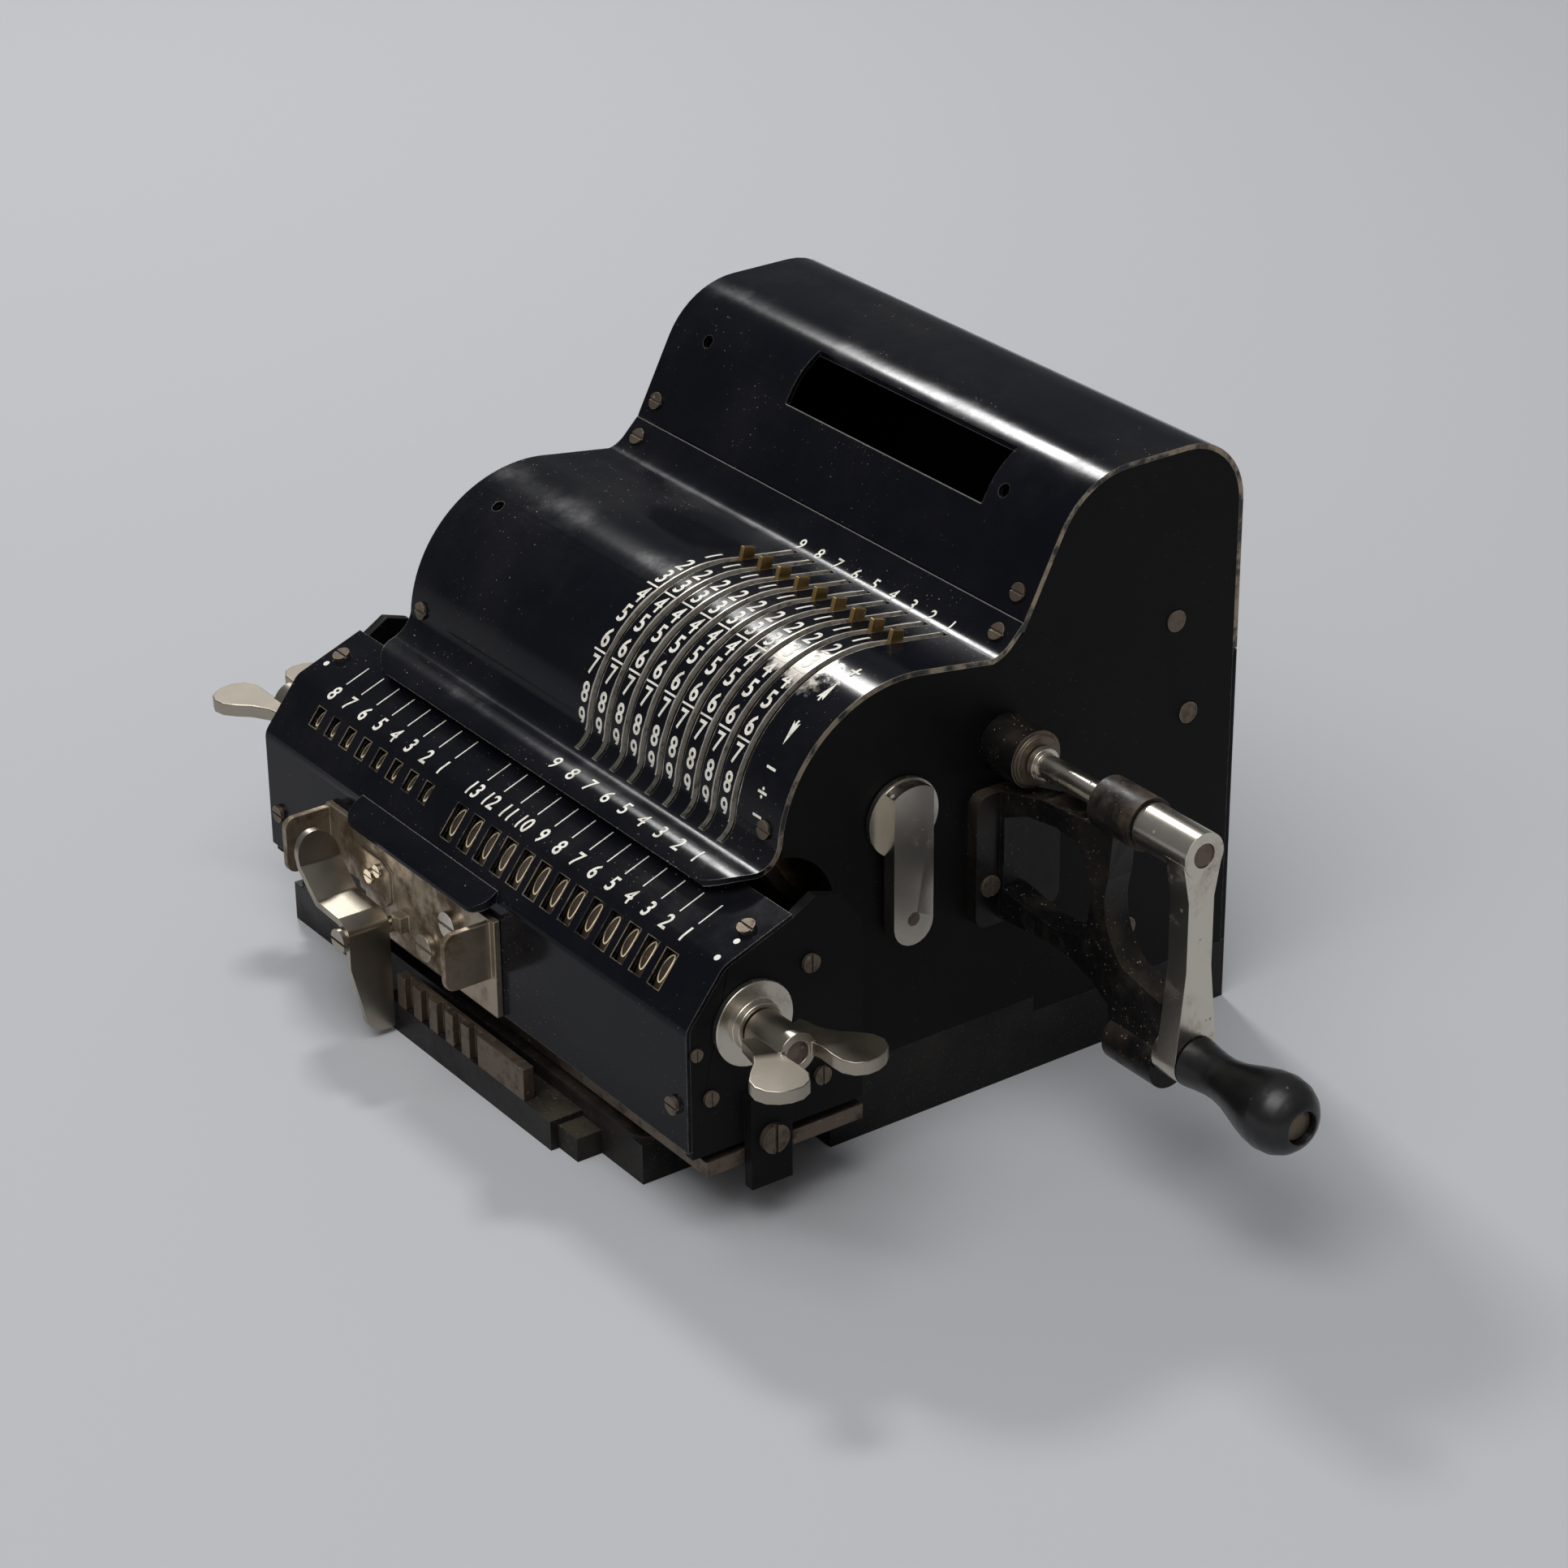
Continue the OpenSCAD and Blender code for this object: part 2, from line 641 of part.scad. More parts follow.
// Bearings of the drum shaft and the crank shaft in the side plates, with the boss outside
module shaft_bearings() {
    color(black) {
        for (s = [-1, 1]) mirror([s < 0 ? 1 : 0, 0, 0]) difference() {
            rod(bush_r - fit / 5, half_w - bush_l, half_w, drum_y, drum_z);
            rod(drum_shaft_r + fit, half_w - bush_l - over, half_w + over, drum_y, drum_z);
        }
        difference() {
            union() {
                rod(crank_bush_r - fit / 5, inner_w, half_w + over, crank_y, crank_z);
                rod(boss_r, half_w + seat, boss_end, crank_y, crank_z);
                rod(collar_r, boss_end - over, boss_end + collar_t, crank_y, crank_z);
            }
            rod(crank_shaft_r + fit, inner_w - over, boss_end + collar_t + over, crank_y, crank_z);
        }
    }
}

// Cast bracket that carries the outer bearing and the rest for the crank's foot
module bracket_web() {
    low = crank_z - throw;
    under = crank_z - outer_bearing_r * 0.8;
    difference() {
        polygon(concat([[half_w + pad_t, pad_high], [half_w + web_top[0], web_top[1]], [bearing_x, under],
            [bearing_x + outer_bearing_l * 0.4, under]],
            arc([rest_x + mouth_c[0], mouth_c[1]], mouth_r, 160, 235, bend_steps),
            [[rest_x, low + 2 * rest_r], [rest_x, rest_z], [rest_x - rest_l, rest_z]],
            [for (p = leg_line) [half_w + p[0], p[1]]]));
        polygon([for (p = web_window) [half_w + p[0], p[1]]]);
    }
}

module crank_bracket() {
    color(black) difference() {
        union() {
            across(half_w + seat, half_w + pad_t) polygon(loop([
                [crank_y + pad_shift + pad_w / 2, pad_low], [crank_y + pad_shift + pad_w / 2, pad_high],
                [crank_y + pad_shift - pad_w / 2, pad_high], [crank_y + pad_shift - pad_w / 2, pad_low]], pad_r, 5));
            along(crank_y - web_t / 2, crank_y + web_t / 2) bracket_web();
            rod(outer_bearing_r, bearing_x, bearing_end, crank_y, crank_z);
            rod(rest_r, rest_x - rest_l, rest_x, crank_y, rest_z);
        }
        rod(crank_shaft_r + fit, bearing_x - over, bearing_end + over, crank_y, crank_z);
        translate([half_w + pad_t, bracket_screw_at[0], bracket_screw_at[1]]) rotate([0, 90, 0]) screw_hole();
    }
}

// Rods that hold the side plates apart, riveted flush
module tie_rods() {
    color(steel) for (p = rod_places) rod(rod_r, -half_w - seat, half_w + sheet_gap, p[0], p[1]);
}

// Gear outline, with a tooth or a gap on the angle given
module gear_shape(offset_share, angle) {
    step = 360 / gear_teeth;
    root = gear_pitch_r - gear_module * gear_root_share;
    tip = gear_pitch_r + gear_module * gear_tip_share;
    polygon([for (i = [0:gear_teeth - 1]) let (a = angle + (i + offset_share) * step)
        each [root * [cos(a - gear_tooth_root_share * step), sin(a - gear_tooth_root_share * step)],
            tip * [cos(a - gear_tooth_tip_share * step), sin(a - gear_tooth_tip_share * step)],
            tip * [cos(a + gear_tooth_tip_share * step), sin(a + gear_tooth_tip_share * step)],
            root * [cos(a + gear_tooth_root_share * step), sin(a + gear_tooth_root_share * step)]]]);
}

drum_shaft_end = half_w - bush_l / 2;
module drum_shaft() {
    color(steel) rod(drum_shaft_r, -drum_shaft_end, drum_shaft_end, drum_y, drum_z);
}

module drum_gear() {
    color(brass) translate([gear_x, drum_y, drum_z]) difference() {
        across(0, gear_t) gear_shape(0.5, gear_line);
        rod(drum_shaft_r, -over, gear_t + over);
    }
}

module crank_gear() {
    color(brass) translate([gear_x, crank_y, crank_z]) difference() {
        across(0, gear_t) gear_shape(0, gear_line + 180);
        rod(crank_shaft_r, -over, gear_t + over);
    }
}

// Nine pinwheels on the drum shaft, each with nine flat pins drawn in
pins = 9;
pin_step = 12;
pin_w = 1.6;
pin_out = 1;
hub_side = ring_t / 2 + 0.3;
module pinwheels() {
    color(steel) for (d = [1:levers]) translate([lever_x(d), drum_y, drum_z]) difference() {
        union() {
            rod(wheel_r, -ring_t / 2 - fit - wheel_t, -ring_t / 2 - fit);
            rod(wheel_hub_r, -ring_t / 2 - fit - wheel_t, hub_side);
            for (i = [0:pins - 1]) rotate([-zero_angle * 4 - i * pin_step, 0, 0])
                translate([-ring_t / 2 - fit - wheel_t * 0.75, -pin_w / 2, wheel_hub_r])
                    cube([wheel_t / 2, pin_w, wheel_r - wheel_hub_r + pin_out]);
        }
        rod(drum_shaft_r, -pitch, pitch);
    }
}

// Setting lever: a ring on the pinwheel's hub with a tab that stands out through its slot
module setting_lever(d) {
    color(brass) translate([lever_x(d), drum_y, drum_z]) difference() {
        union() {
            rod(ring_r, -ring_t / 2, ring_t / 2);
            rotate([-zero_angle, 0, 0]) {
                translate([-tab_t / 2, -tab_l, 0]) cube([tab_t, 2 * tab_l, ring_r + tab_l]);
                translate([-tab_t / 2, -tab_l / 2, 0]) cube([tab_t, tab_l, tip_r - fit * 4]);
            }
        }
        rod(wheel_hub_r + fit, -ring_t, ring_t);
    }
}

module crank_shaft() {
    shoulder_r = crank_shaft_r + over;
    color(nickel) {
        rod(crank_shaft_r, gear_x - over, hub_end - sheet_gap, crank_y, crank_z);
        rod(shoulder_r, boss_end + collar_t + sheet_gap, boss_end + 3 * collar_t, crank_y, crank_z);
    }
}

// Crank hub and arm, with the pin that carries the knob riveted in its foot
pin_head_share = 1.6;
module crank_arm() {
    arm_in = arm_out - arm_t;
    foot_in = arm_out - foot_t;
    waist_share = 0.45;
    color(nickel) {
        difference() {
            rod(hub_r, hub_x, hub_end, crank_y, crank_z);
            rod(crank_shaft_r, hub_x - over, hub_end + over, crank_y, crank_z);
        }
        difference() {
            across(arm_in, arm_out) polygon([[crank_y - hub_r, crank_z - hub_r * 0.2],
                [crank_y - arm_waist / 2, crank_z - 2 * hub_r], [crank_y - arm_waist / 2, knob_z + throw * waist_share],
                [crank_y - foot_r, knob_z], [crank_y + foot_r, knob_z],
                [crank_y + arm_waist / 2, knob_z + throw * waist_share],
                [crank_y + arm_waist / 2, crank_z - 2 * hub_r], [crank_y + hub_r, crank_z - hub_r * 0.2]]);
            rod(hub_r - seat, arm_in - over, arm_out + over, crank_y, crank_z);
        }
        rod(foot_r, foot_in, arm_out, crank_y, knob_z);
        rod(knob_pin_r, arm_out - over, arm_out + knob_l - knob_pin_r, crank_y, knob_z);
        rod(knob_pin_r * pin_head_share, arm_out + knob_l - 1.5 * knob_pin_r, arm_out + knob_l - 0.6 * knob_pin_r,
            crank_y, knob_z);
    }
}

// Turned knob: stations along its length and radii, as shares of length and greatest radius
knob_share = [[0, 0.66], [0.1, 0.6], [0.2, 0.56], [0.29, 0.565], [0.385, 0.63], [0.48, 0.74], [0.575, 0.86],
    [0.67, 0.955], [0.76, 1], [0.85, 0.96], [0.92, 0.84], [0.97, 0.67], [1, 0.48]];
module crank_knob() {
    recess_r = knob_pin_r * pin_head_share + sheet_gap;
    color(black) translate([arm_out + sheet_gap, crank_y, knob_z]) rotate([0, 90, 0]) difference() {
        rotate_extrude() polygon(concat([[0, 0]], [for (s = knob_share) [s[1] * knob_r, s[0] * knob_l]], [[0, knob_l]]));
        translate([0, 0, -over]) cylinder(r = knob_pin_r + fit, h = knob_l + 2 * over);
        translate([0, 0, knob_l - 1.5 * knob_pin_r - 2 * sheet_gap]) cylinder(r = recess_r, h = knob_l);
    }
}

// Lever on the drum axis that brings the setting levers back to nought
clear_c = [drum_y - 1.2, drum_z + 0.5];
module clearing_lever() {
    x0 = half_w + sheet_gap;
    x1 = x0 + disc_t;
    x2 = x1 + clear_t;
    crown_r = disc_r * 0.95;
    crown = acos(clear_w / 2 / crown_r);
    color(nickel) {
        rod(drum_shaft_r * 0.7, drum_shaft_end + sheet_gap, x0 + over / 2, clear_c[0], clear_c[1]);
        rod(disc_r, x0, x1, clear_c[0], clear_c[1]);
        across(x1, x2) polygon(concat(
            arc(clear_c - [0, clear_l - clear_w / 2], clear_w / 2, 180, 360, bend_steps),
            arc(clear_c, crown_r, crown, 180 - crown, bend_steps)));
        rod(screw_head_r / 1.3, x2 - over, x2 + seat, clear_c[0], clear_c[1] - clear_l + clear_w * 0.6);
    }
}

// Pressed carriage cover with the register windows
module windows(w, h, at) {
    for (x = at) translate([x, face_top[0], face_top[1]]) rotate([face_tilt, 0, 0])
        translate([-w / 2, -window_drop - h, -carriage_t * 4]) cube([w, h, carriage_t * 8]);
}

module carriage_cover() {
    color(paint) difference() {
        union() {
            across(carriage_left, carriage_right)
                polygon(concat(carriage_path(0), flip(carriage_path(carriage_t))));
            key_hood();
        }
        windows(result_win_w, result_win_h, [for (d = [1:result_digits]) result_x(d)]);
        windows(counter_win_w, counter_win_h, [for (d = [1:counter_digits]) counter_x(d)]);
    }
}

// Moulding over the keys
key_hood_x = [-41.5, 13];
key_hood_out = 5.2;
key_hood_top = 49.6;
key_hood_low = 45;
key_hood_t = 2;
key_hood_r = 4;
module key_hood() {
    y = -carriage_front;
    x0 = key_hood_x[0];
    x1 = key_hood_x[1];
    r = key_hood_r;
    intersection() {
        across(x0, x1) polygon([[y + carriage_t / 2, key_hood_low + key_hood_t],
            [y - key_hood_out, key_hood_low], [y - key_hood_out, key_hood_low + key_hood_t / 2],
            [y - key_hood_out + key_hood_t / 2, key_hood_low + key_hood_t],
            [y + carriage_t / 2, key_hood_top]]);
        linear_extrude(height = key_hood_top + over) polygon(concat(
            [[x1, y + over], [x0, y + over]],
            arc([x0 + r, y - key_hood_out + r], r, 180, 270, bend_steps / 2),
            arc([x1 - r, y - key_hood_out + r], r, 270, 360, bend_steps / 2)));
    }
}

// End plates with the leg on the right one, and the plate between the registers
middle_front = 13;
middle_back = 7;
leg_t = 2.7;
leg_w = 10;
leg_front = -79;
leg_low = 8.4;
leg_high = 29.4;
module end_plate_outline() {
    polygon(concat([[-carriage_front + carriage_t, end_foot_z]], carriage_path(carriage_t + seat), flip(end_back)));
}

module carriage_end_plates() {
    color(black) {
        for (x0 = [carriage_left, carriage_right - end_t]) difference() {
            across(x0, x0 + end_t) end_plate_outline();
            rod(axle_r + fit, x0 - over, x0 + end_t + over, axle_y, axle_z);
        }
        difference() {
            across(middle_x - end_t / 2, middle_x + end_t / 2) polygon([
                [axle_y - middle_front, runner_z + runner_t + seat], [axle_y - middle_front, axle_z],
                [axle_y, axle_z + 1.5 * axle_r + over], [axle_y + middle_back, axle_z],
                [axle_y + middle_back, runner_z + runner_t + seat]]);
            rod(axle_r + fit, middle_x - end_t, middle_x + end_t, axle_y, axle_z);
        }
        translate([carriage_right + seat, leg_front, leg_low]) cube([leg_t, leg_w, leg_high - leg_low]);
    }
}

// Runners between the end plates, sliding on the rails
module carriage_runners() {
    color(steel) for (r = [front_runner, rear_runner])
        translate([carriage_left, r[0], runner_z]) cube([carriage_l, r[1] - r[0], runner_t]);
}

end_screws = [[-62.6, 54.1, 2], [-90.2, 42.5, 1.4], [-87, 31.6, 1.7], [-60, 27.5, 2]];
roof_screw_share = 0.55;
module carriage_screws() {
    roof_at = face_top + (roof_back - face_top) * roof_screw_share;
    roof_tilt = atan2(roof_back[1] - face_top[1], roof_back[0] - face_top[0]);
    color(steel) {
        for (x = [carriage_left + screw_inset, carriage_right - screw_inset]) {
            translate([x, roof_at[0], roof_at[1]]) rotate([roof_tilt, 0, 0]) screw_head();
            translate([x, -carriage_front, carriage_low + 2 * screw_inset]) rotate([90, 0, 0]) screw_head();
        }
        for (p = end_screws) {
            translate([carriage_right, p[0], p[1]]) rotate([0, 90, 0]) screw_head(p[2]);
            translate([carriage_left, p[0], p[1]]) rotate([0, -90, 0]) screw_head(p[2]);
        }
        translate([carriage_right + leg_t, leg_front + leg_w / 2, leg_high - leg_w]) rotate([0, 90, 0]) screw_head(3.2);
        for (p = key_screws)
            translate([p[0], -carriage_front - key_t - seat - p[3], p[1]]) rotate([90, 0, 0]) screw_head(p[2]);
    }
}

module screw_head(r = screw_head_r) {
    difference() {
        translate([0, 0, seat]) cylinder(r = r, h = r * 0.5);
        translate([-r - over, -r * 0.12, r * 0.3]) cube([2 * (r + over), r * 0.24, r]);
    }
}

// Key plate with a finger tab bent forward at each end and a strap over the shift lever's spring
key_low = 20.4;
key_high = 43.2;
// Screws in the key plate: place across, height, radius of the head and lift off the plate
key_screws = [[-34.8, 33.6, 1.7, key_t / 2], [-31.3, 36.3, 1.5, key_t / 2],
    [-12.7, 25.8, 3.2, 0], [-2.5, 35.6, 3.2, 0]];
finger_low = 29.3;
finger_high = 42.6;
finger_inset = 1.5;
peg = [-22.6, 27.6, 3.8];
strap = [-40, -27, 28.5, 39];
module key_plate() {
    y1 = -carriage_front - seat;
    y0 = y1 - key_t;
    blank = finger_l * 1.2;
    color(nickel) {
        translate([key_left + blank, y0, key_low]) cube([key_right - key_left - blank, key_t, key_high - key_low]);
        translate([key_left, y0, finger_low]) cube([blank + over, key_t, key_high - finger_low]);
        for (x = [key_left, key_right - key_t - finger_inset]) finger_tab(x, y1);
        translate([peg[0] - peg[2] / 2, y0 - peg[2] * 0.6, peg[1] - peg[2] / 2]) cube(peg[2]);
        along(y0 - key_t / 2, y0 + over / 2) polygon([[strap[0], strap[2]], [strap[1] - stud_r, strap[2]],
            [strap[1], strap[2] + stud_r], [strap[1], strap[3] - stud_r], [strap[1] - 2 * stud_r, strap[3]],
            [strap[0], strap[3]]]);
    }
}

module finger_tab(x, y) {
    r = key_t * 1.6;
    across(x, x + key_t) polygon(concat([[y, finger_low], [y, finger_high]],
        arc([y - finger_l + r, finger_high - r], r, 90, 180, bend_steps / 2),
        arc([y - finger_l + r, finger_low + r], r, 180, 270, bend_steps / 2)));
}

// Shift lever: a strip bent twice across its width, swinging on a stud in the key plate
stud_r = 1.8;
blade_low = 1.5;
thumb_top = 41.5;
stud_head_share = 1.55;
lever_gap = 0.6;
knee_z = 28.6;
thumb_line = [[-23.6, 17.2], [-19.6, 6.2], [-12.8, 0.4], [-3.6, 0], [0, -1.4]];
module shift_lever() {
    back = -shelf_front - bar_t - lever_gap;
    front = back - blade_w;
    hinge_z = knee_z - 2 * stud_r;
    line = concat([for (p = thumb_line) [blade_x, knee_z] + p], [[blade_x, blade_low]]);
    color(nickel) {
        intersection() {
            along(front, back) polygon(concat(rounded(side_step(line, key_t / 2), key_t, 4),
                flip(rounded(side_step(line, -key_t / 2), key_t, 4))));
            across(blade_x - thumb_top, blade_x + thumb_top) polygon(concat(
                arc([front + blade_w / 2, thumb_top - blade_w / 2], blade_w / 2, 0, 180, 2 * bend_steps),
                [[front, knee_z - blade_w]],
                arc([front + blade_w * 0.75, blade_low + blade_w * 0.45], blade_w * 0.45, 180, 270, bend_steps),
                [[back, blade_low]]));
        }
        translate([blade_x - stud_r, -carriage_front - key_t - 2 * seat, hinge_z]) rotate([90, 0, 0])
            cylinder(r = stud_r, h = -carriage_front - key_t - front + over / 2);
        translate([blade_x - stud_r, front, hinge_z]) rotate([90, 0, 0]) screw_head(stud_r * stud_head_share);
    }
}

// Flanges on the end plates in which the axles turn
module axle_flanges() {
    color(nickel) for (s = [-1, 1]) {
        x = s > 0 ? carriage_right : carriage_left;
        translate([x, axle_y, axle_z]) rotate([0, s * 90, 0]) difference() {
            union() {
                translate([0, 0, seat]) cylinder(r = flange_r, h = flange_t);
                translate([0, 0, seat]) cylinder(r = wing_hub_r + over, h = flange_t + 2 * over);
            }
            translate([0, 0, -over]) cylinder(r = axle_r + fit, h = flange_t + 4 * over);
        }
    }
}

// Axles of the two registers and their wing nuts
nut_x = flange_t + 2 * over + sheet_gap;
axle_end = nut_x + wing_hub_l - sheet_gap;
module result_axle() {
    color(steel) rod(axle_r, middle_x + sheet_gap / 2, carriage_right + axle_end, axle_y, axle_z);
}

module counter_axle() {
    color(steel) rod(axle_r, carriage_left - axle_end, middle_x - sheet_gap / 2, axle_y, axle_z);
}

// Wing nut with its hub on the axle, the wings leaning outwards
wing_share = [[0.02, 0.3], [0.25, 0.22], [0.45, 0.28], [0.6, 0.4], [0.74, 0.48], [0.87, 0.44],
    [0.96, 0.3], [1, 0.1]];
wing_w = 12.5;
module wing() {
    lean = atan2(wing_spread - wing_hub_r, wing_reach);
    l = norm([wing_spread - wing_hub_r, wing_reach]);
    translate([0, wing_hub_r - over, wing_hub_l / 3]) rotate([-lean, 0, 0])
        rotate([90, 0, 90]) translate([0, 0, -wing_t / 2]) linear_extrude(height = wing_t)
            polygon(concat([for (s = wing_share) [s[1] * wing_w, s[0] * l]],
                flip([for (s = wing_share) [-s[1] * wing_w, s[0] * l]])));
}

module wing_nut() {
    difference() {
        union() {
            cylinder(r = wing_hub_r, h = wing_hub_l);
            for (a = [0, 180]) rotate([0, 0, a]) wing();
        }
        translate([0, 0, -over]) cylinder(r = axle_r, h = wing_hub_l + 2 * wing_reach);
    }
}

module result_wing_nut() {
    color(nickel) translate([carriage_right + nut_x, axle_y, axle_z]) rotate([0, 90, 0]) wing_nut();
}

module counter_wing_nut() {
    color(nickel) translate([carriage_left - nut_x, axle_y, axle_z]) rotate([0, -90, 0]) wing_nut();
}

// Number wheel
module number_wheel(x) {
    color(dark) difference() {
        rod(number_r, x - number_t / 2, x + number_t / 2, axle_y, axle_z);
        rod(axle_r + fit, x - number_t, x + number_t, axle_y, axle_z);
    }
}

base_frame();
shift_rack();
right_side_plate();
left_side_plate();
front_cover();
hood();
rear_cover();
casing_screws();
shaft_bearings();
crank_bracket();
tie_rods();
drum_shaft();
drum_gear();
pinwheels();
for (d = [1:levers]) setting_lever(d);
crank_shaft();
crank_gear();
crank_arm();
crank_knob();
clearing_lever();
carriage_cover();
carriage_end_plates();
carriage_runners();
carriage_screws();
key_plate();
axle_flanges();
shift_lever();
result_axle();
result_wing_nut();
counter_axle();
counter_wing_nut();
for (d = [1:result_digits]) number_wheel(result_x(d));
for (d = [1:counter_digits]) number_wheel(counter_x(d));
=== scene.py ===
import json
import math

import bmesh
import bpy
from mathutils import Matrix, Vector

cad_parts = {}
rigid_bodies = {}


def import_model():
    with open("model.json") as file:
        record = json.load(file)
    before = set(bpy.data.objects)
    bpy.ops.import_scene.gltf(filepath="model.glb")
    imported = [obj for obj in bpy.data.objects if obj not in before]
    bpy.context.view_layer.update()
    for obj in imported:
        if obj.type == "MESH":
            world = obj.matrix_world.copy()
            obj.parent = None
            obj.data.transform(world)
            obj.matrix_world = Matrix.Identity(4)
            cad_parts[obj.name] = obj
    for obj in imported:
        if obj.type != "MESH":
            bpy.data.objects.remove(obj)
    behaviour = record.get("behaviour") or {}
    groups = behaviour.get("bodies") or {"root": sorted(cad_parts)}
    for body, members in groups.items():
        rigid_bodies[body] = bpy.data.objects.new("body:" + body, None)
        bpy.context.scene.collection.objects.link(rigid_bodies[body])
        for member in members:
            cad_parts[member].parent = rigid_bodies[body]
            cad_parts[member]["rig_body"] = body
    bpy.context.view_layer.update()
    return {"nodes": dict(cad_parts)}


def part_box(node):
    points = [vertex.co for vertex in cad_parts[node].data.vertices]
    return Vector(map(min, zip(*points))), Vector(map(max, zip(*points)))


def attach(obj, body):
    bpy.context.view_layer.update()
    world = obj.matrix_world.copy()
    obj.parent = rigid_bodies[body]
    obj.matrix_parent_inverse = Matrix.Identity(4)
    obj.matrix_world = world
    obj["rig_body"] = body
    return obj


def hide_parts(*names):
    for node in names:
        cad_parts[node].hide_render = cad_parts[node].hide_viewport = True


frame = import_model()
cadNodes = frame["nodes"]
mm = 0.001
print("frame loaded:", len(cadNodes), "nodes")

# places taken from the part, in millimetres
drumAxis = (-30.0, 71.5)
coverRadius = 31.5
slotPitch = 6.5
slotOneX = 54.4
axleAxis = (-77.0, 45.7)
wheelRadius = 12.0


# ---- shared shader groups ----
def newGroup(name, values, outputs):
    group = bpy.data.node_groups.new(name, "ShaderNodeTree")
    group.interface.new_socket("Vector", in_out="INPUT", socket_type="NodeSocketVector")
    for title, value in values.items():
        socket = group.interface.new_socket(title, in_out="INPUT", socket_type="NodeSocketFloat")
        socket.default_value = value
    for title in outputs:
        group.interface.new_socket(title, in_out="OUTPUT", socket_type="NodeSocketFloat")
    return group, group.nodes.new("NodeGroupInput"), group.nodes.new("NodeGroupOutput")


def math2(tree, kind, a, b=None, clamp=False):
    node = tree.nodes.new("ShaderNodeMath")
    node.operation = kind
    node.use_clamp = clamp
    for slot, value in enumerate((a, b)):
        if value is None:
            continue
        if isinstance(value, (int, float)):
            node.inputs[slot].default_value = value
        else:
            tree.links.new(value, node.inputs[slot])
    return node.outputs[0]


def spread(tree, value, low, high):
    node = tree.nodes.new("ShaderNodeMapRange")
    node.interpolation_type = "SMOOTHSTEP"
    tree.links.new(value, node.inputs["Value"])
    for socket, edge in (("From Min", low), ("From Max", high)):
        if isinstance(edge, (int, float)):
            node.inputs[socket].default_value = edge
        else:
            tree.links.new(edge, node.inputs[socket])
    return node.outputs[0]


def cloud(tree, vector, scale, detail=4.0, rough=0.6, stretch=None):
    if stretch:
        mapping = tree.nodes.new("ShaderNodeMapping")
        mapping.inputs["Scale"].default_value = stretch
        tree.links.new(vector, mapping.inputs["Vector"])
        vector = mapping.outputs[0]
    node = tree.nodes.new("ShaderNodeTexNoise")
    node.inputs["Detail"].default_value = detail
    node.inputs["Roughness"].default_value = rough
    tree.links.new(vector, node.inputs["Vector"])
    if isinstance(scale, (int, float)):
        node.inputs["Scale"].default_value = scale
    else:
        tree.links.new(scale, node.inputs["Scale"])
    return node.outputs["Fac"]


edgeSettings = {"samples": 6, "cloud": (420.0, 5.0, 0.7), "ragged": 0.35, "soft": 0.12}


def makeEdgeWear():
    group, source, sink = newGroup("edgeWear", {"Reach": 0.0004, "Amount": 1.0, "Break": 0.4}, ["Mask"])
    bevel = group.nodes.new("ShaderNodeBevel")
    bevel.samples = edgeSettings["samples"]
    shape = group.nodes.new("ShaderNodeNewGeometry")
    dot = group.nodes.new("ShaderNodeVectorMath")
    dot.operation = "DOT_PRODUCT"
    group.links.new(source.outputs["Reach"], bevel.inputs["Radius"])
    group.links.new(bevel.outputs[0], dot.inputs[0])
    group.links.new(shape.outputs["Normal"], dot.inputs[1])
    turn = math2(group, "SUBTRACT", 1.0, dot.outputs["Value"])
    ragged = math2(group, "MULTIPLY", cloud(group, source.outputs["Vector"], *edgeSettings["cloud"]),
                   source.outputs["Break"])
    low = math2(group, "MULTIPLY", ragged, edgeSettings["ragged"])
    mask = spread(group, turn, low, math2(group, "ADD", low, edgeSettings["soft"]))
    group.links.new(math2(group, "MULTIPLY", mask, source.outputs["Amount"], True), sink.inputs["Mask"])
    return group


dustSettings = {
    "drift": (28.0, 5.0, 0.65), "size": 0.62, "core": 0.5, "pick": 0.75, "driftShare": 0.6,
    "bound": 1.15, "soft": 0.1, "reach": 0.8, "lying": (-0.4, 0.9), "film": (0.42, 0.75),
    "lyingShare": 0.7,
}


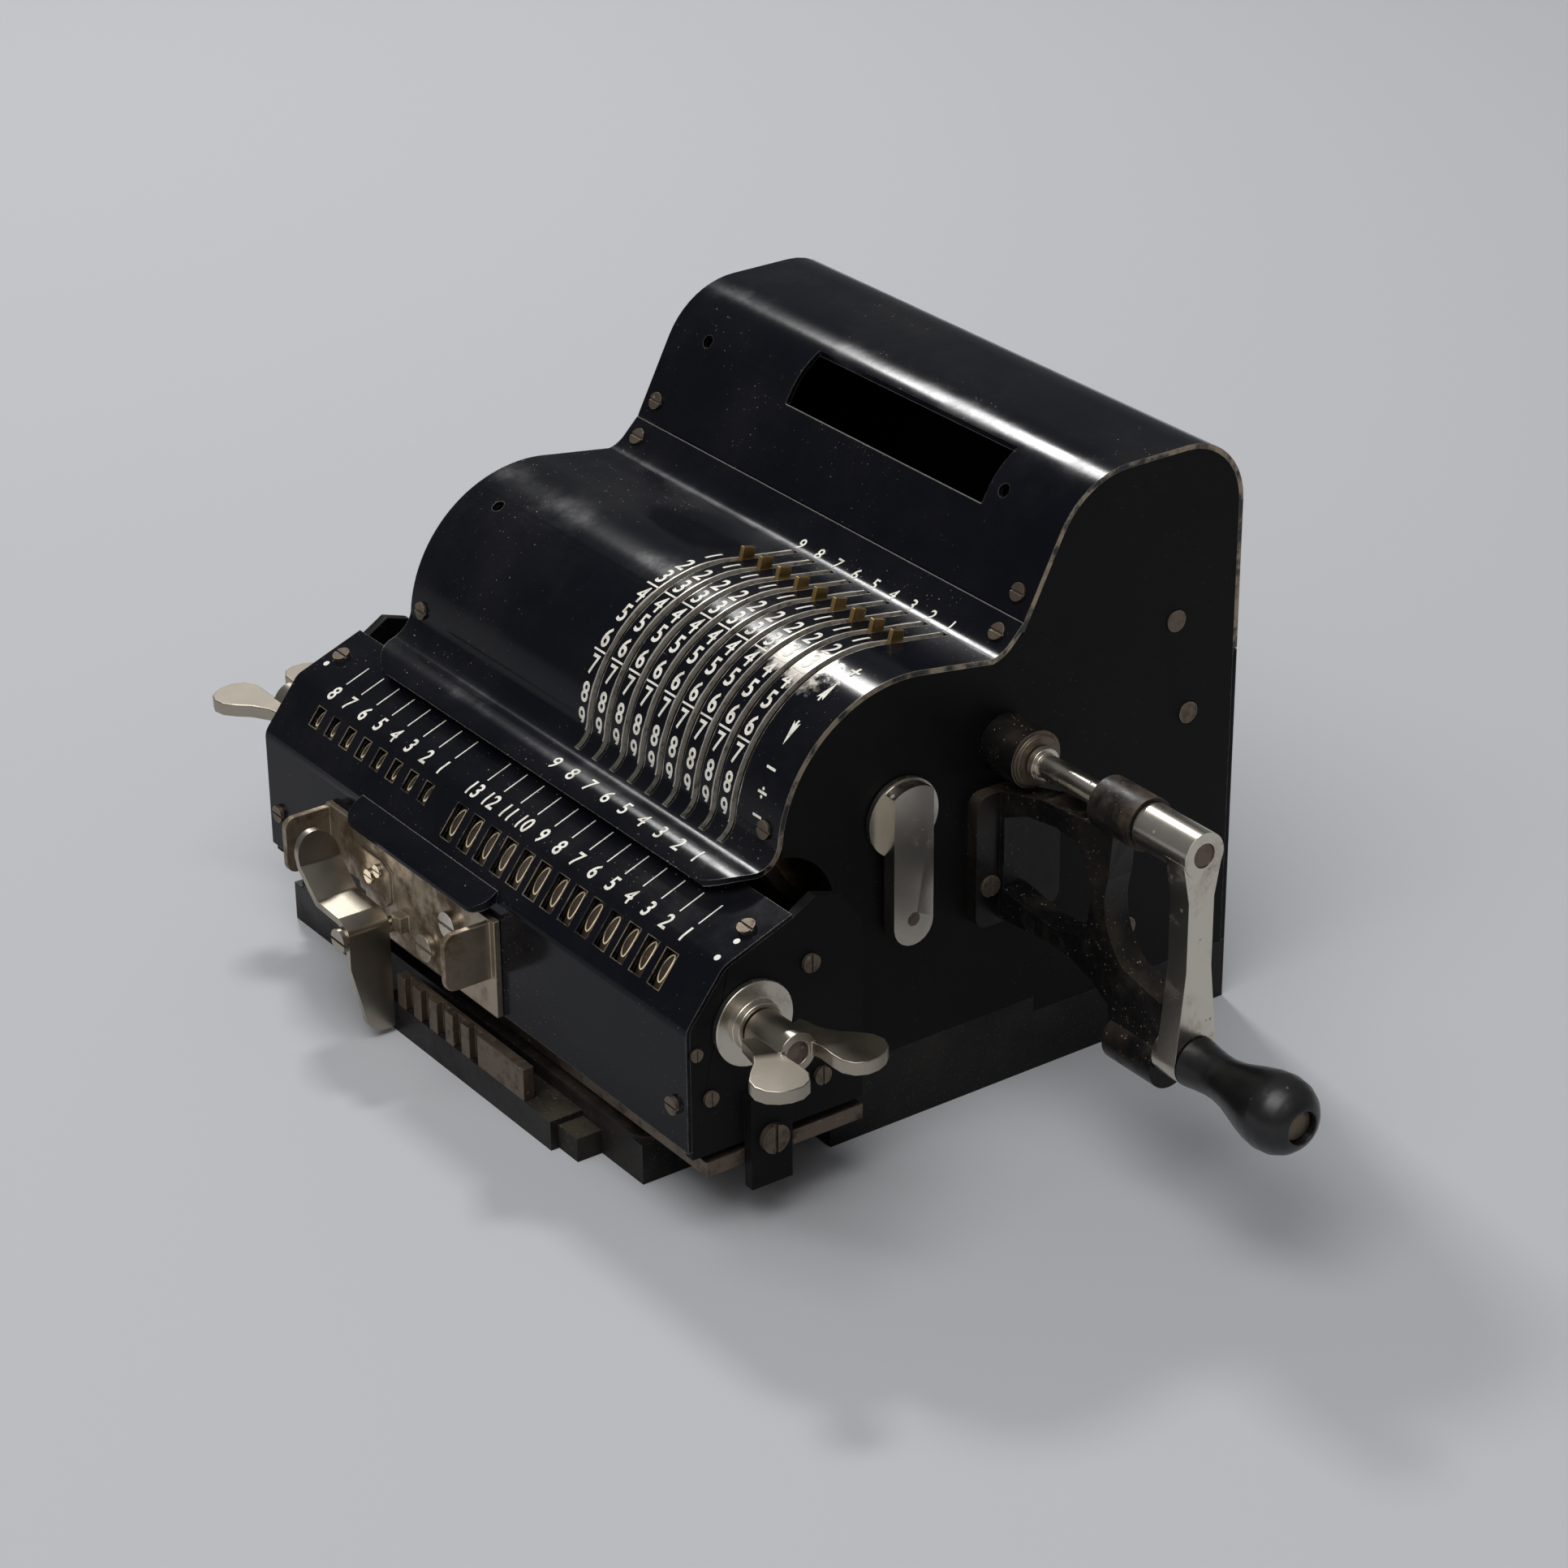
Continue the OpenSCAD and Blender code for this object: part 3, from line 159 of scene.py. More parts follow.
def makeDust():
    values = dustSettings
    group, source, sink = newGroup("settledDust", {"Scale": 900.0, "Amount": 0.5, "Film": 0.1}, ["Mask"])
    specks = group.nodes.new("ShaderNodeTexVoronoi")
    group.links.new(source.outputs["Vector"], specks.inputs["Vector"])
    group.links.new(source.outputs["Scale"], specks.inputs["Scale"])
    pick = group.nodes.new("ShaderNodeSeparateColor")
    group.links.new(specks.outputs["Color"], pick.inputs[0])
    drift = cloud(group, source.outputs["Vector"], *values["drift"])
    size = math2(group, "MULTIPLY", math2(group, "MULTIPLY", pick.outputs[0], pick.outputs[1]),
                 values["size"])
    core = math2(group, "MULTIPLY", size, values["core"])
    speck = math2(group, "SUBTRACT", 1.0, spread(group, specks.outputs["Distance"], core, size))
    chance = math2(group, "ADD", math2(group, "MULTIPLY", pick.outputs[2], values["pick"]),
                   math2(group, "MULTIPLY", drift, values["driftShare"]))
    amount = math2(group, "MULTIPLY", source.outputs["Amount"], values["reach"])
    chosen = spread(group, chance, math2(group, "SUBTRACT", values["bound"], amount),
                    math2(group, "SUBTRACT", values["bound"] + values["soft"], amount))
    up = group.nodes.new("ShaderNodeNewGeometry")
    way = group.nodes.new("ShaderNodeSeparateXYZ")
    group.links.new(up.outputs["Normal"], way.inputs[0])
    lying = spread(group, way.outputs["Z"], *values["lying"])
    settled = math2(group, "MULTIPLY", spread(group, drift, *values["film"]), lying)
    film = math2(group, "MULTIPLY", settled, source.outputs["Film"])
    flatter = math2(group, "ADD", math2(group, "MULTIPLY", lying, values["lyingShare"]),
                    1.0 - values["lyingShare"])
    grains = math2(group, "MULTIPLY", math2(group, "MULTIPLY", speck, chosen), flatter)
    group.links.new(math2(group, "MAXIMUM", grains, film), sink.inputs["Mask"])
    return group


tarnishCloud = {"detail": 7.0, "rough": 0.68}


def makeTarnish():
    group, source, sink = newGroup("tarnish", {"Scale": 120.0, "Low": 0.45, "High": 0.7}, ["Mask"])
    blots = cloud(group, source.outputs["Vector"], source.outputs["Scale"], **tarnishCloud)
    group.links.new(spread(group, blots, source.outputs["Low"], source.outputs["High"]), sink.inputs["Mask"])
    return group


grainSettings = {
    "peel": (3.0, 0.5), "long": (90.0, 6.0, 0.75, (1.0, 9.0, 5.0)),
    "cross": (70.0, 6.0, 0.8, (11.0, 1.0, 3.0)), "thin": (0.68, 0.74), "deep": 0.4,
}


def makeGrain():
    values = grainSettings
    group, source, sink = newGroup("surfaceGrain", {"Scale": 600.0, "Scratches": 0.0}, ["Height", "Scratch"])
    peel = cloud(group, source.outputs["Vector"], source.outputs["Scale"], *values["peel"])
    lines = cloud(group, source.outputs["Vector"], *values["long"])
    fine = cloud(group, source.outputs["Vector"], *values["cross"])
    thin = spread(group, math2(group, "MAXIMUM", lines, fine), *values["thin"])
    thin = math2(group, "MULTIPLY", thin, source.outputs["Scratches"])
    group.links.new(math2(group, "SUBTRACT", peel, math2(group, "MULTIPLY", thin, values["deep"])),
                    sink.inputs["Height"])
    group.links.new(thin, sink.inputs["Scratch"])
    return group


edgeWear, settledDust, tarnish, surfaceGrain = makeEdgeWear(), makeDust(), makeTarnish(), makeGrain()


def place(tree, group, vector, **values):
    node = tree.nodes.new("ShaderNodeGroup")
    node.node_tree = group
    tree.links.new(vector, node.inputs["Vector"])
    for title, value in values.items():
        node.inputs[title].default_value = value
    return node


def blendColour(tree, mask, a, b):
    node = tree.nodes.new("ShaderNodeMix")
    node.data_type = "RGBA"
    tree.links.new(mask, node.inputs["Factor"])
    for socket, value in ((node.inputs[6], a), (node.inputs[7], b)):
        if isinstance(value, (tuple, list)):
            socket.default_value = (*value[:3], 1.0)
        else:
            tree.links.new(value, socket)
    return node.outputs[2]


def blendValue(tree, mask, a, b):
    node = tree.nodes.new("ShaderNodeMix")
    node.data_type = "FLOAT"
    tree.links.new(mask, node.inputs[0])
    for socket, value in ((node.inputs[2], a), (node.inputs[3], b)):
        if isinstance(value, (int, float)):
            socket.default_value = value
        else:
            tree.links.new(value, socket)
    return node.outputs[0]


plainLook = {
    "stainScale": 90.0, "stainLow": 0.45, "stainHigh": 0.7, "grainScale": 700.0, "scratches": 0.0,
    "wearReach": 0.0004, "wear": 1.0, "wearBreak": 0.4, "dustScale": 900.0, "dust": 0.4, "film": 0.1,
    "bare": (0.5, 0.47, 0.42), "dustColour": (0.26, 0.22, 0.17), "bareRough": 0.34, "metal": 0.0,
    "bareMetal": 1.0, "specular": 0.5, "bump": 0.15, "bumpDeep": 0.0002, "dustRough": 0.85,
    "dustHeight": 0.6, "wearDepth": 0.25,
}


def makeFinish(name, given, extraWear=None):
    look = dict(plainLook, **given)
    stainRough = look.get("stainRough", look["rough"] + 0.2)
    stainMetal = look.get("stainMetal", look["metal"] * 0.5)
    mat = bpy.data.materials.new(name)
    mat.use_nodes = True
    tree = mat.node_tree
    shader = tree.nodes["Principled BSDF"]
    where = tree.nodes.new("ShaderNodeTexCoord").outputs["Object"]
    stain = place(tree, tarnish, where, Scale=look["stainScale"], Low=look["stainLow"],
                  High=look["stainHigh"]).outputs[0]
    grain = place(tree, surfaceGrain, where, Scale=look["grainScale"], Scratches=look["scratches"])
    wear = place(tree, edgeWear, where, Reach=look["wearReach"], Amount=look["wear"],
                 Break=look["wearBreak"]).outputs[0]
    wear = math2(tree, "MAXIMUM", wear, grain.outputs["Scratch"])
    if extraWear:
        wear = math2(tree, "MAXIMUM", wear, extraWear(tree, where))
    dust = place(tree, settledDust, where, Scale=look["dustScale"], Amount=look["dust"],
                 Film=look["film"]).outputs[0]
    colour = blendColour(tree, stain, look["colour"], look["stain"])
    colour = blendColour(tree, wear, colour, look["bare"])
    colour = blendColour(tree, dust, colour, look["dustColour"])
    rough = blendValue(tree, stain, look["rough"], stainRough)
    rough = blendValue(tree, wear, rough, look["bareRough"])
    rough = blendValue(tree, dust, rough, look["dustRough"])
    metal = blendValue(tree, stain, look["metal"], stainMetal)
    metal = blendValue(tree, wear, metal, look["bareMetal"])
    metal = math2(tree, "MULTIPLY", metal, math2(tree, "SUBTRACT", 1.0, dust))
    tree.links.new(colour, shader.inputs["Base Color"])
    tree.links.new(rough, shader.inputs["Roughness"])
    tree.links.new(metal, shader.inputs["Metallic"])
    shader.inputs["Specular IOR Level"].default_value = look["specular"]
    bump = tree.nodes.new("ShaderNodeBump")
    bump.inputs["Strength"].default_value = look["bump"]
    bump.inputs["Distance"].default_value = look["bumpDeep"]
    height = math2(tree, "ADD", grain.outputs["Height"], math2(tree, "MULTIPLY", dust, look["dustHeight"]))
    height = math2(tree, "SUBTRACT", height, math2(tree, "MULTIPLY", wear, look["wearDepth"]))
    tree.links.new(height, bump.inputs["Height"])
    tree.links.new(bump.outputs[0], shader.inputs["Normal"])
    return mat


# the rubbed place beside the slots, in millimetres, its mask broken by a cloud
rubbed = {"centre": (50, -41.5, 101.0), "size": (26, 13, 9), "mask": (0.5, 0.8), "cloud": (160.0, 8.0, 0.7),
          "ragged": 1.6}


def rubbedPatch(centre, size, low, high):
    def build(tree, where):
        shift = tree.nodes.new("ShaderNodeVectorMath")
        shift.operation = "SUBTRACT"
        shift.inputs[1].default_value = [v * mm for v in centre]
        tree.links.new(where, shift.inputs[0])
        scale = tree.nodes.new("ShaderNodeVectorMath")
        scale.operation = "DIVIDE"
        scale.inputs[1].default_value = [v * mm for v in size]
        tree.links.new(shift.outputs[0], scale.inputs[0])
        far = tree.nodes.new("ShaderNodeVectorMath")
        far.operation = "LENGTH"
        tree.links.new(scale.outputs[0], far.inputs[0])
        near = math2(tree, "SUBTRACT", 1.0, far.outputs["Value"])
        ragged = math2(tree, "MULTIPLY", math2(tree, "SUBTRACT", cloud(tree, where, *rubbed["cloud"]), 0.5),
                       rubbed["ragged"])
        return spread(tree, math2(tree, "ADD", near, ragged), low, high)
    return build


# worn strips on both sides of every slot, wider on its left
slotWear = {
    "from": -2.4, "to": 57.6, "front": -64.5, "back": -8.5, "low": 73.0, "side": 0.95, "ragged": 1.5,
    "left": 0.35, "cloud": (95.0, 6.0, 0.7), "soft": 0.12,
}


def wornSlots(tree, where):
    split = tree.nodes.new("ShaderNodeSeparateXYZ")
    tree.links.new(where, split.inputs[0])
    x, y, z = (split.outputs[k] for k in ("X", "Y", "Z"))
    cell = math2(tree, "DIVIDE", math2(tree, "SUBTRACT", x, slotOneX * mm), slotPitch * mm)
    # 40 whole cells keep the fraction positive
    share = math2(tree, "SUBTRACT", math2(tree, "FRACT", math2(tree, "ADD", cell, 40.5)), 0.5)
    far = math2(tree, "MULTIPLY", share, slotPitch)
    left = math2(tree, "MULTIPLY", math2(tree, "LESS_THAN", far, 0.0), slotWear["left"])
    near = math2(tree, "SUBTRACT", math2(tree, "ABSOLUTE", far), left)
    noise = math2(tree, "SUBTRACT", cloud(tree, where, *slotWear["cloud"]), 0.5)
    near = math2(tree, "ADD", near, math2(tree, "MULTIPLY", noise, slotWear["ragged"]))
    beyond = spread(tree, near, slotWear["side"] - slotWear["soft"], slotWear["side"] + slotWear["soft"])
    edge = math2(tree, "SUBTRACT", 1.0, beyond)
    bounds = ((x, "from", "GREATER_THAN"), (x, "to", "LESS_THAN"), (y, "front", "GREATER_THAN"),
              (y, "back", "LESS_THAN"), (z, "low", "GREATER_THAN"))
    for value, bound, kind in bounds:
        edge = math2(tree, "MULTIPLY", edge, math2(tree, kind, value, slotWear[bound] * mm))
    return edge


def coverWear(tree, where):
    patch = rubbedPatch(rubbed["centre"], rubbed["size"], *rubbed["mask"])(tree, where)
    return math2(tree, "MAXIMUM", wornSlots(tree, where), patch)


enamelLook = {
    "colour": (0.0038, 0.0042, 0.0068), "stain": (0.0065, 0.0066, 0.009), "rough": 0.15,
    "stainRough": 0.26, "stainScale": 38.0, "wear": 0.85, "wearReach": 0.0005, "wearBreak": 1.3,
    "dust": 0.2, "film": 0.02, "scratches": 0.1, "specular": 0.1, "dustScale": 2600.0,
    "dustColour": (0.3, 0.28, 0.26), "bump": 0.04, "grainScale": 500.0, "bare": (0.5, 0.46, 0.41),
    "bareMetal": 0.6, "bareRough": 0.4,
}
# one look for each finish; what a look leaves out comes from plainLook
looks = {
    "enamel": dict(enamelLook, name="blackEnamel"),
    "coverEnamel": dict(enamelLook, name="coverEnamel", scratches=0.35),
    "japan": {
        "name": "mattBlack", "colour": (0.0022, 0.0022, 0.0026), "stain": (0.0045, 0.0042, 0.004),
        "rough": 0.55, "stainRough": 0.65, "stainScale": 60.0, "wear": 0.35, "wearReach": 0.0004,
        "wearBreak": 1.8, "dust": 0.2, "film": 0.03, "specular": 0.15, "dustScale": 2200.0,
        "bump": 0.12, "grainScale": 900.0, "bare": (0.25, 0.22, 0.19),
    },
    "casting": {
        "name": "blackCasting", "colour": (0.0042, 0.0042, 0.0048), "stain": (0.013, 0.0105, 0.0075),
        "rough": 0.3, "stainRough": 0.6, "stainScale": 120.0, "wear": 0.3, "wearBreak": 1.8,
        "dust": 0.5, "film": 0.3, "specular": 0.2, "dustScale": 1800.0, "bump": 0.2,
        "grainScale": 800.0, "bare": (0.2, 0.17, 0.13), "dustColour": (0.2, 0.155, 0.1),
    },
    "base": {
        "name": "dustyBase", "colour": (0.0042, 0.0042, 0.005), "stain": (0.012, 0.011, 0.01),
        "rough": 0.36, "stainRough": 0.6, "stainScale": 70.0, "wear": 0.4, "wearBreak": 1.8,
        "dust": 0.7, "film": 0.4, "specular": 0.2, "dustScale": 1800.0, "bump": 0.25,
        "grainScale": 900.0, "bare": (0.22, 0.2, 0.17), "dustColour": (0.13, 0.105, 0.075),
    },
    "nickel": {
        "name": "wornNickel", "colour": (0.62, 0.575, 0.5), "stain": (0.3, 0.235, 0.16), "rough": 0.24,
        "stainRough": 0.42, "metal": 1.0, "stainMetal": 0.85, "stainScale": 110.0, "stainLow": 0.5,
        "stainHigh": 0.85, "wear": 0.5, "wearBreak": 1.2, "dust": 0.25, "film": 0.08,
        "scratches": 0.15, "bump": 0.05, "grainScale": 900.0, "bare": (0.78, 0.74, 0.67),
        "bareRough": 0.2,
    },
    "satinNickel": {
        "name": "satinNickel", "colour": (0.38, 0.34, 0.28), "stain": (0.2, 0.16, 0.11), "rough": 0.29,
        "stainRough": 0.45, "metal": 1.0, "stainMetal": 0.9, "stainScale": 60.0, "stainLow": 0.5,
        "stainHigh": 0.9, "wear": 0.12, "wearBreak": 1.6, "dust": 0.15, "film": 0.04, "scratches": 0.1,
        "bump": 0.02, "grainScale": 900.0, "bare": (0.7, 0.66, 0.58), "bareRough": 0.25,
    },
    "dirtyNickel": {
        "name": "dirtyNickel", "colour": (0.4, 0.34, 0.26), "stain": (0.09, 0.055, 0.025),
        "rough": 0.38, "stainRough": 0.6, "metal": 1.0, "stainMetal": 0.5, "stainScale": 90.0,
        "stainLow": 0.42, "stainHigh": 0.66, "wear": 0.8, "wearBreak": 0.8, "dust": 0.5, "film": 0.3,
        "bump": 0.12, "grainScale": 800.0, "bare": (0.75, 0.68, 0.56), "dustColour": (0.2, 0.14, 0.08),
    },
    "brass": {
        "name": "oldBrass", "colour": (0.62, 0.42, 0.17), "stain": (0.16, 0.1, 0.04), "rough": 0.32,
        "stainRough": 0.55, "metal": 1.0, "stainMetal": 0.6, "stainScale": 200.0, "wear": 0.9,
        "wearBreak": 0.6, "dust": 0.3, "film": 0.1, "bump": 0.1, "bare": (0.72, 0.52, 0.24),
    },
    "brownSteel": {
        "name": "brownSteel", "colour": (0.16, 0.125, 0.095), "stain": (0.045, 0.028, 0.016),
        "rough": 0.42, "stainRough": 0.65, "metal": 0.9, "stainMetal": 0.3, "stainScale": 260.0,
        "wear": 0.8, "wearBreak": 0.8, "dust": 0.3, "film": 0.1, "bump": 0.2,
        "bare": (0.45, 0.38, 0.3),
    },
    "slotSteel": {
        "name": "slotSteel", "colour": (0.55, 0.52, 0.46), "stain": (0.14, 0.12, 0.09), "rough": 0.45,
        "stainRough": 0.6, "metal": 0.5, "stainMetal": 0.4, "stainScale": 420.0, "wear": 0.8,
        "wearBreak": 0.6, "dust": 0.2, "film": 0.05, "bump": 0.3, "grainScale": 1500.0,
        "bare": (0.8, 0.77, 0.7),
    },
    "digitWheel": {
        "name": "digitWheel", "colour": (0.05, 0.034, 0.022), "stain": (0.02, 0.014, 0.009),
        "rough": 0.5, "stainScale": 400.0, "wear": 0.2, "dust": 0.4, "film": 0.2, "bump": 0.25,
        "grainScale": 1600.0, "bare": (0.3, 0.2, 0.1),
    },
    "knob": {
        "name": "knobLacquer", "colour": (0.006, 0.006, 0.0065), "stain": (0.011, 0.0105, 0.01),
        "rough": 0.3, "stainRough": 0.42, "stainScale": 70.0, "wear": 0.1, "wearBreak": 2.0,
        "dust": 0.18, "film": 0.02, "scratches": 0.05, "bump": 0.05, "bareMetal": 0.0,
        "bare": (0.05, 0.045, 0.04), "bareRough": 0.5,
    },
    "inlay": {
        "name": "creamInlay", "colour": (0.8, 0.78, 0.7), "stain": (0.5, 0.46, 0.37), "rough": 0.5,
        "stainScale": 500.0, "wear": 0.0, "dust": 0.2, "film": 0.03, "bump": 0.2,
        "dustColour": (0.2, 0.17, 0.12),
    },
    "rubbedEdge": {
        "name": "rubbedEdge", "colour": (0.34, 0.27, 0.19), "stain": (0.008, 0.008, 0.01),
        "rough": 0.4, "stainRough": 0.35, "metal": 0.6, "stainMetal": 0.0, "stainScale": 130.0,
        "stainLow": 0.42, "stainHigh": 0.56, "wear": 0.6, "wearBreak": 0.6, "dust": 0.2, "film": 0.0,
        "bump": 0.1, "bare": (0.55, 0.48, 0.38), "bareMetal": 0.6,
    },
    "boss": {
        "name": "dustyBoss", "colour": (0.004, 0.004, 0.0042), "stain": (0.012, 0.0095, 0.007),
        "rough": 0.35, "stainRough": 0.55, "stainScale": 150.0, "wear": 0.35, "wearBreak": 1.8,
        "dust": 0.35, "film": 0.06, "specular": 0.2, "bump": 0.2, "dustScale": 1800.0,
        "bare": (0.3, 0.24, 0.17), "dustColour": (0.16, 0.12, 0.08),
    },
    "collar": {
        "name": "dustyCollar", "colour": (0.006, 0.0055, 0.005), "stain": (0.04, 0.028, 0.018),
        "rough": 0.36, "stainRough": 0.6, "stainScale": 170.0, "wear": 0.6, "wearBreak": 1.0,
        "dust": 0.5, "film": 1.4, "specular": 0.3, "bump": 0.25, "dustScale": 1800.0,
        "bare": (0.35, 0.28, 0.2), "dustColour": (0.15, 0.11, 0.08),
    },
    "gold": {
        "name": "goldLine", "colour": (0.95, 0.8, 0.54), "stain": (0.75, 0.56, 0.32), "rough": 0.38,
        "metal": 0.0, "stainScale": 600.0, "wear": 0.0, "dust": 0.2, "bump": 0.1,
    },
}
wearMasks = {"coverEnamel": coverWear}
finishes = {key: makeFinish(look["name"], look, wearMasks.get(key)) for key, look in looks.items()}
print("finishes made:", len(finishes))


# ---- copies of the part's solids with eased edges ----
def coat(obj, finish):
    obj.data.materials.clear()
    obj.data.materials.append(finishes[finish])


weld = {"distance": 2e-6, "flat": 0.5}


def ease(name, finish, width=0.18, angle=38.0, smooth=34.0, rings=2):
    source = cadNodes[name]
    mesh = source.data.copy()
    piece = bpy.data.objects.new(name + "_dressed", mesh)
    bpy.context.scene.collection.objects.link(piece)
    shape = bmesh.new()
    shape.from_mesh(mesh)
    bmesh.ops.remove_doubles(shape, verts=shape.verts, dist=weld["distance"])
    flat = math.radians(weld["flat"])
    bmesh.ops.dissolve_limit(shape, angle_limit=flat, verts=shape.verts, edges=shape.edges)
    shape.to_mesh(mesh)
    shape.free()
    mesh.shade_smooth()
    mesh.set_sharp_from_angle(angle=math.radians(smooth))
    coat(piece, finish)
    if width:
        bevel = piece.modifiers.new("ease", "BEVEL")
        bevel.width = width * mm
        bevel.segments = rings
        bevel.limit_method = "ANGLE"
        bevel.angle_limit = math.radians(angle)
        bevel.use_clamp_overlap = True
        bevel.harden_normals = True
    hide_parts(name)
    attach(piece, source["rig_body"])
    return piece


# finish, then bevel width, edge angle, smooth angle and rings where they differ from ease's own
wingNut = ("satinNickel", 1.1, 38.0, 34.0, 4)
easedNodes = {
    "hood": ("enamel", 0.25), "rear_cover": ("enamel", 0.25), "right_side_plate": ("japan", 0.2),
    "left_side_plate": ("japan", 0.2), "front_cover": ("coverEnamel", 0.22),
    "base_frame": ("base", 0.4), "carriage_cover": ("enamel", 0.2),
    "carriage_end_plates": ("japan", 0.2), "crank_bracket": ("casting", 0.6),
    "crank_arm": ("nickel", 0.35), "clearing_lever": ("nickel", 0.4),
    "key_plate": ("dirtyNickel", 0.25), "shift_lever": ("satinNickel", 0.3),
    "shift_rack": ("brownSteel", 0.15), "axle_flanges": ("nickel", 0.3),
    "result_wing_nut": wingNut, "counter_wing_nut": wingNut, "carriage_screws": ("brownSteel", 0.12),
    "casing_screws": ("brownSteel", 0.12), "shaft_bearings": ("boss", 0.3),
    "crank_knob": ("knob", 0.2), "crank_shaft": ("nickel", 0.2),
    "carriage_runners": ("brownSteel", 0.2),
}
eased = {name: ease(name, *values) for name, values in easedNodes.items()}
for number in range(1, 10):
    eased["setting_lever_%d" % number] = ease("setting_lever_%d" % number, "brass", 0.15)

plainNodes = {
    "tie_rods": "brownSteel", "drum_shaft": "brownSteel", "drum_gear": "brass", "crank_gear": "brass",
    "pinwheels": "brownSteel", "result_axle": "brownSteel", "counter_axle": "brownSteel",
}
for name, node in cadNodes.items():
    if name in plainNodes:
        coat(node, plainNodes[name])
    elif "_wheel_" in name:
        coat(node, "digitWheel")
print("solids dressed:", len(eased))


# faces inside a box of millimetres take a second finish
def touch(name, finish, low, high, around=None):
    mesh = eased[name].data
    mesh.materials.append(finishes[finish])
    for face in mesh.polygons:
        c = face.center / mm
        near = not around or math.hypot(c.y - around[0], c.z - around[1]) < around[2]
        if near and all(low[i] < c[i] < high[i] for i in range(3)):
            face.material_index = len(mesh.materials) - 1


# piece, finish, low and high corner, and for a round face its axis in y and z and its radius
endDepth = 1.5
secondFinishes = [
    ("carriage_screws", "nickel", (-40, -110, 18), (5, -93.2, 45)),
    ("crank_bracket", "collar", (90, -20, 60), (130, 10, 95), (-4.8, 80.8, 5.75)),
    ("shaft_bearings", "brownSteel", (80.3, -20, 60), (90, 10, 95)),
    ("carriage_screws", "nickel", (68, -93, 18), (80, -85, 30)),
    ("clearing_lever", "brownSteel", (74, -33, 47), (78, -29, 52.4), (-31.2, 50.3, 1.6)),
]
for name in ("crank_arm", "crank_shaft"):
    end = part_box(name)[1].x / mm
    secondFinishes.append((name, "brownSteel", (end - endDepth, -60, -40), (end + 1, 60, 140)))
for name in ("hood", "front_cover"):
    secondFinishes.append((name, "rubbedEdge", (69.5, -80, 0), (70, 60, 140)))
    secondFinishes.append((name, "rubbedEdge", (-70, -80, 0), (-69.5, 60, 140)))
for second in secondFinishes:
    touch(*second)

# the slots' cut walls are bare metal
slotWall = {"from": 0.0, "to": 57.0, "sideways": 0.9}
cover = eased["front_cover"].data
cover.materials.append(finishes["slotSteel"])
for face in cover.polygons:
    along = face.center.x / mm
    if abs(face.normal.x) > slotWall["sideways"] and slotWall["from"] < along < slotWall["to"]:
        face.material_index = len(cover.materials) - 1


# ---- digits and marks let into the paint ----
# each glyph is cut into rows, so that it follows a bend
glyphRows = 9
glyphWeld = 1e-5
glyphCurve = 3


def glyph(word, size, squeeze=1.0, swell=0.05):
    curve = bpy.data.curves.new("glyph", "FONT")
    curve.body = word
    curve.size = size
    curve.align_x = "CENTER"
    curve.align_y = "CENTER"
    curve.resolution_u = glyphCurve
    holder = bpy.data.objects.new("glyph", curve)
    bpy.context.scene.collection.objects.link(holder)
    mesh = bpy.data.meshes.new_from_object(holder.evaluated_get(bpy.context.evaluated_depsgraph_get()))
    bpy.data.objects.remove(holder)
    shape = bmesh.new()
    shape.from_mesh(mesh)
    bmesh.ops.remove_doubles(shape, verts=shape.verts, dist=glyphWeld)
    # the outline moves outwards by the swell, which thickens the strokes
    push = {}
    for edge in shape.edges:
        if len(edge.link_faces) == 1:
            a, b = edge.verts
            out = Vector((b.co.y - a.co.y, a.co.x - b.co.x, 0)).normalized()
            if out.dot((a.co + b.co) / 2 - edge.link_faces[0].calc_center_median()) < 0:
                out = -out
            for v in (a, b):
                push[v] = push.get(v, Vector()) + out
    for v, way in push.items():
        v.co += way.normalized() * swell
    heights = [v.co.y for v in shape.verts]
    for k in range(1, glyphRows):
        level = min(heights) + (max(heights) - min(heights)) * k / glyphRows
        whole = shape.verts[:] + shape.edges[:] + shape.faces[:]
        bmesh.ops.bisect_plane(shape, geom=whole, plane_co=(0, level, 0), plane_no=(0, 1, 0))
    shape.to_mesh(mesh)
    shape.free()
    low = min(v.co.y for v in mesh.vertices)
    high = max(v.co.y for v in mesh.vertices)
    left = min(v.co.x for v in mesh.vertices)
    right = max(v.co.x for v in mesh.vertices)
    points = [((v.co.x - (left + right) / 2) * squeeze, v.co.y - (low + high) / 2) for v in mesh.vertices]
    faces = [tuple(p.vertices) for p in mesh.polygons]
    bpy.data.meshes.remove(mesh)
    return points, faces


def oval(wide, high, sides):
    turns = [math.tau * i / sides for i in range(sides)]
    return [(wide * math.cos(turn), high * math.sin(turn)) for turn in turns]


def stroke(points, width, closed=False):
    verts, faces = [], []
    count = len(points)
    for i, p in enumerate(points):
        before = points[(i - 1) % count] if closed or i else p
        after = points[(i + 1) % count] if closed or i < count - 1 else p
        way = Vector((after[0] - before[0], after[1] - before[1])).normalized()
        side = Vector((-way.y, way.x)) * width / 2
        verts += [(p[0] + side.x, p[1] + side.y), (p[0] - side.x, p[1] - side.y)]
    for i in range(count if closed else count - 1):
        a, b = 2 * i, 2 * ((i + 1) % count)
        faces.append((a + 1, b + 1, b, a))
    return verts, faces


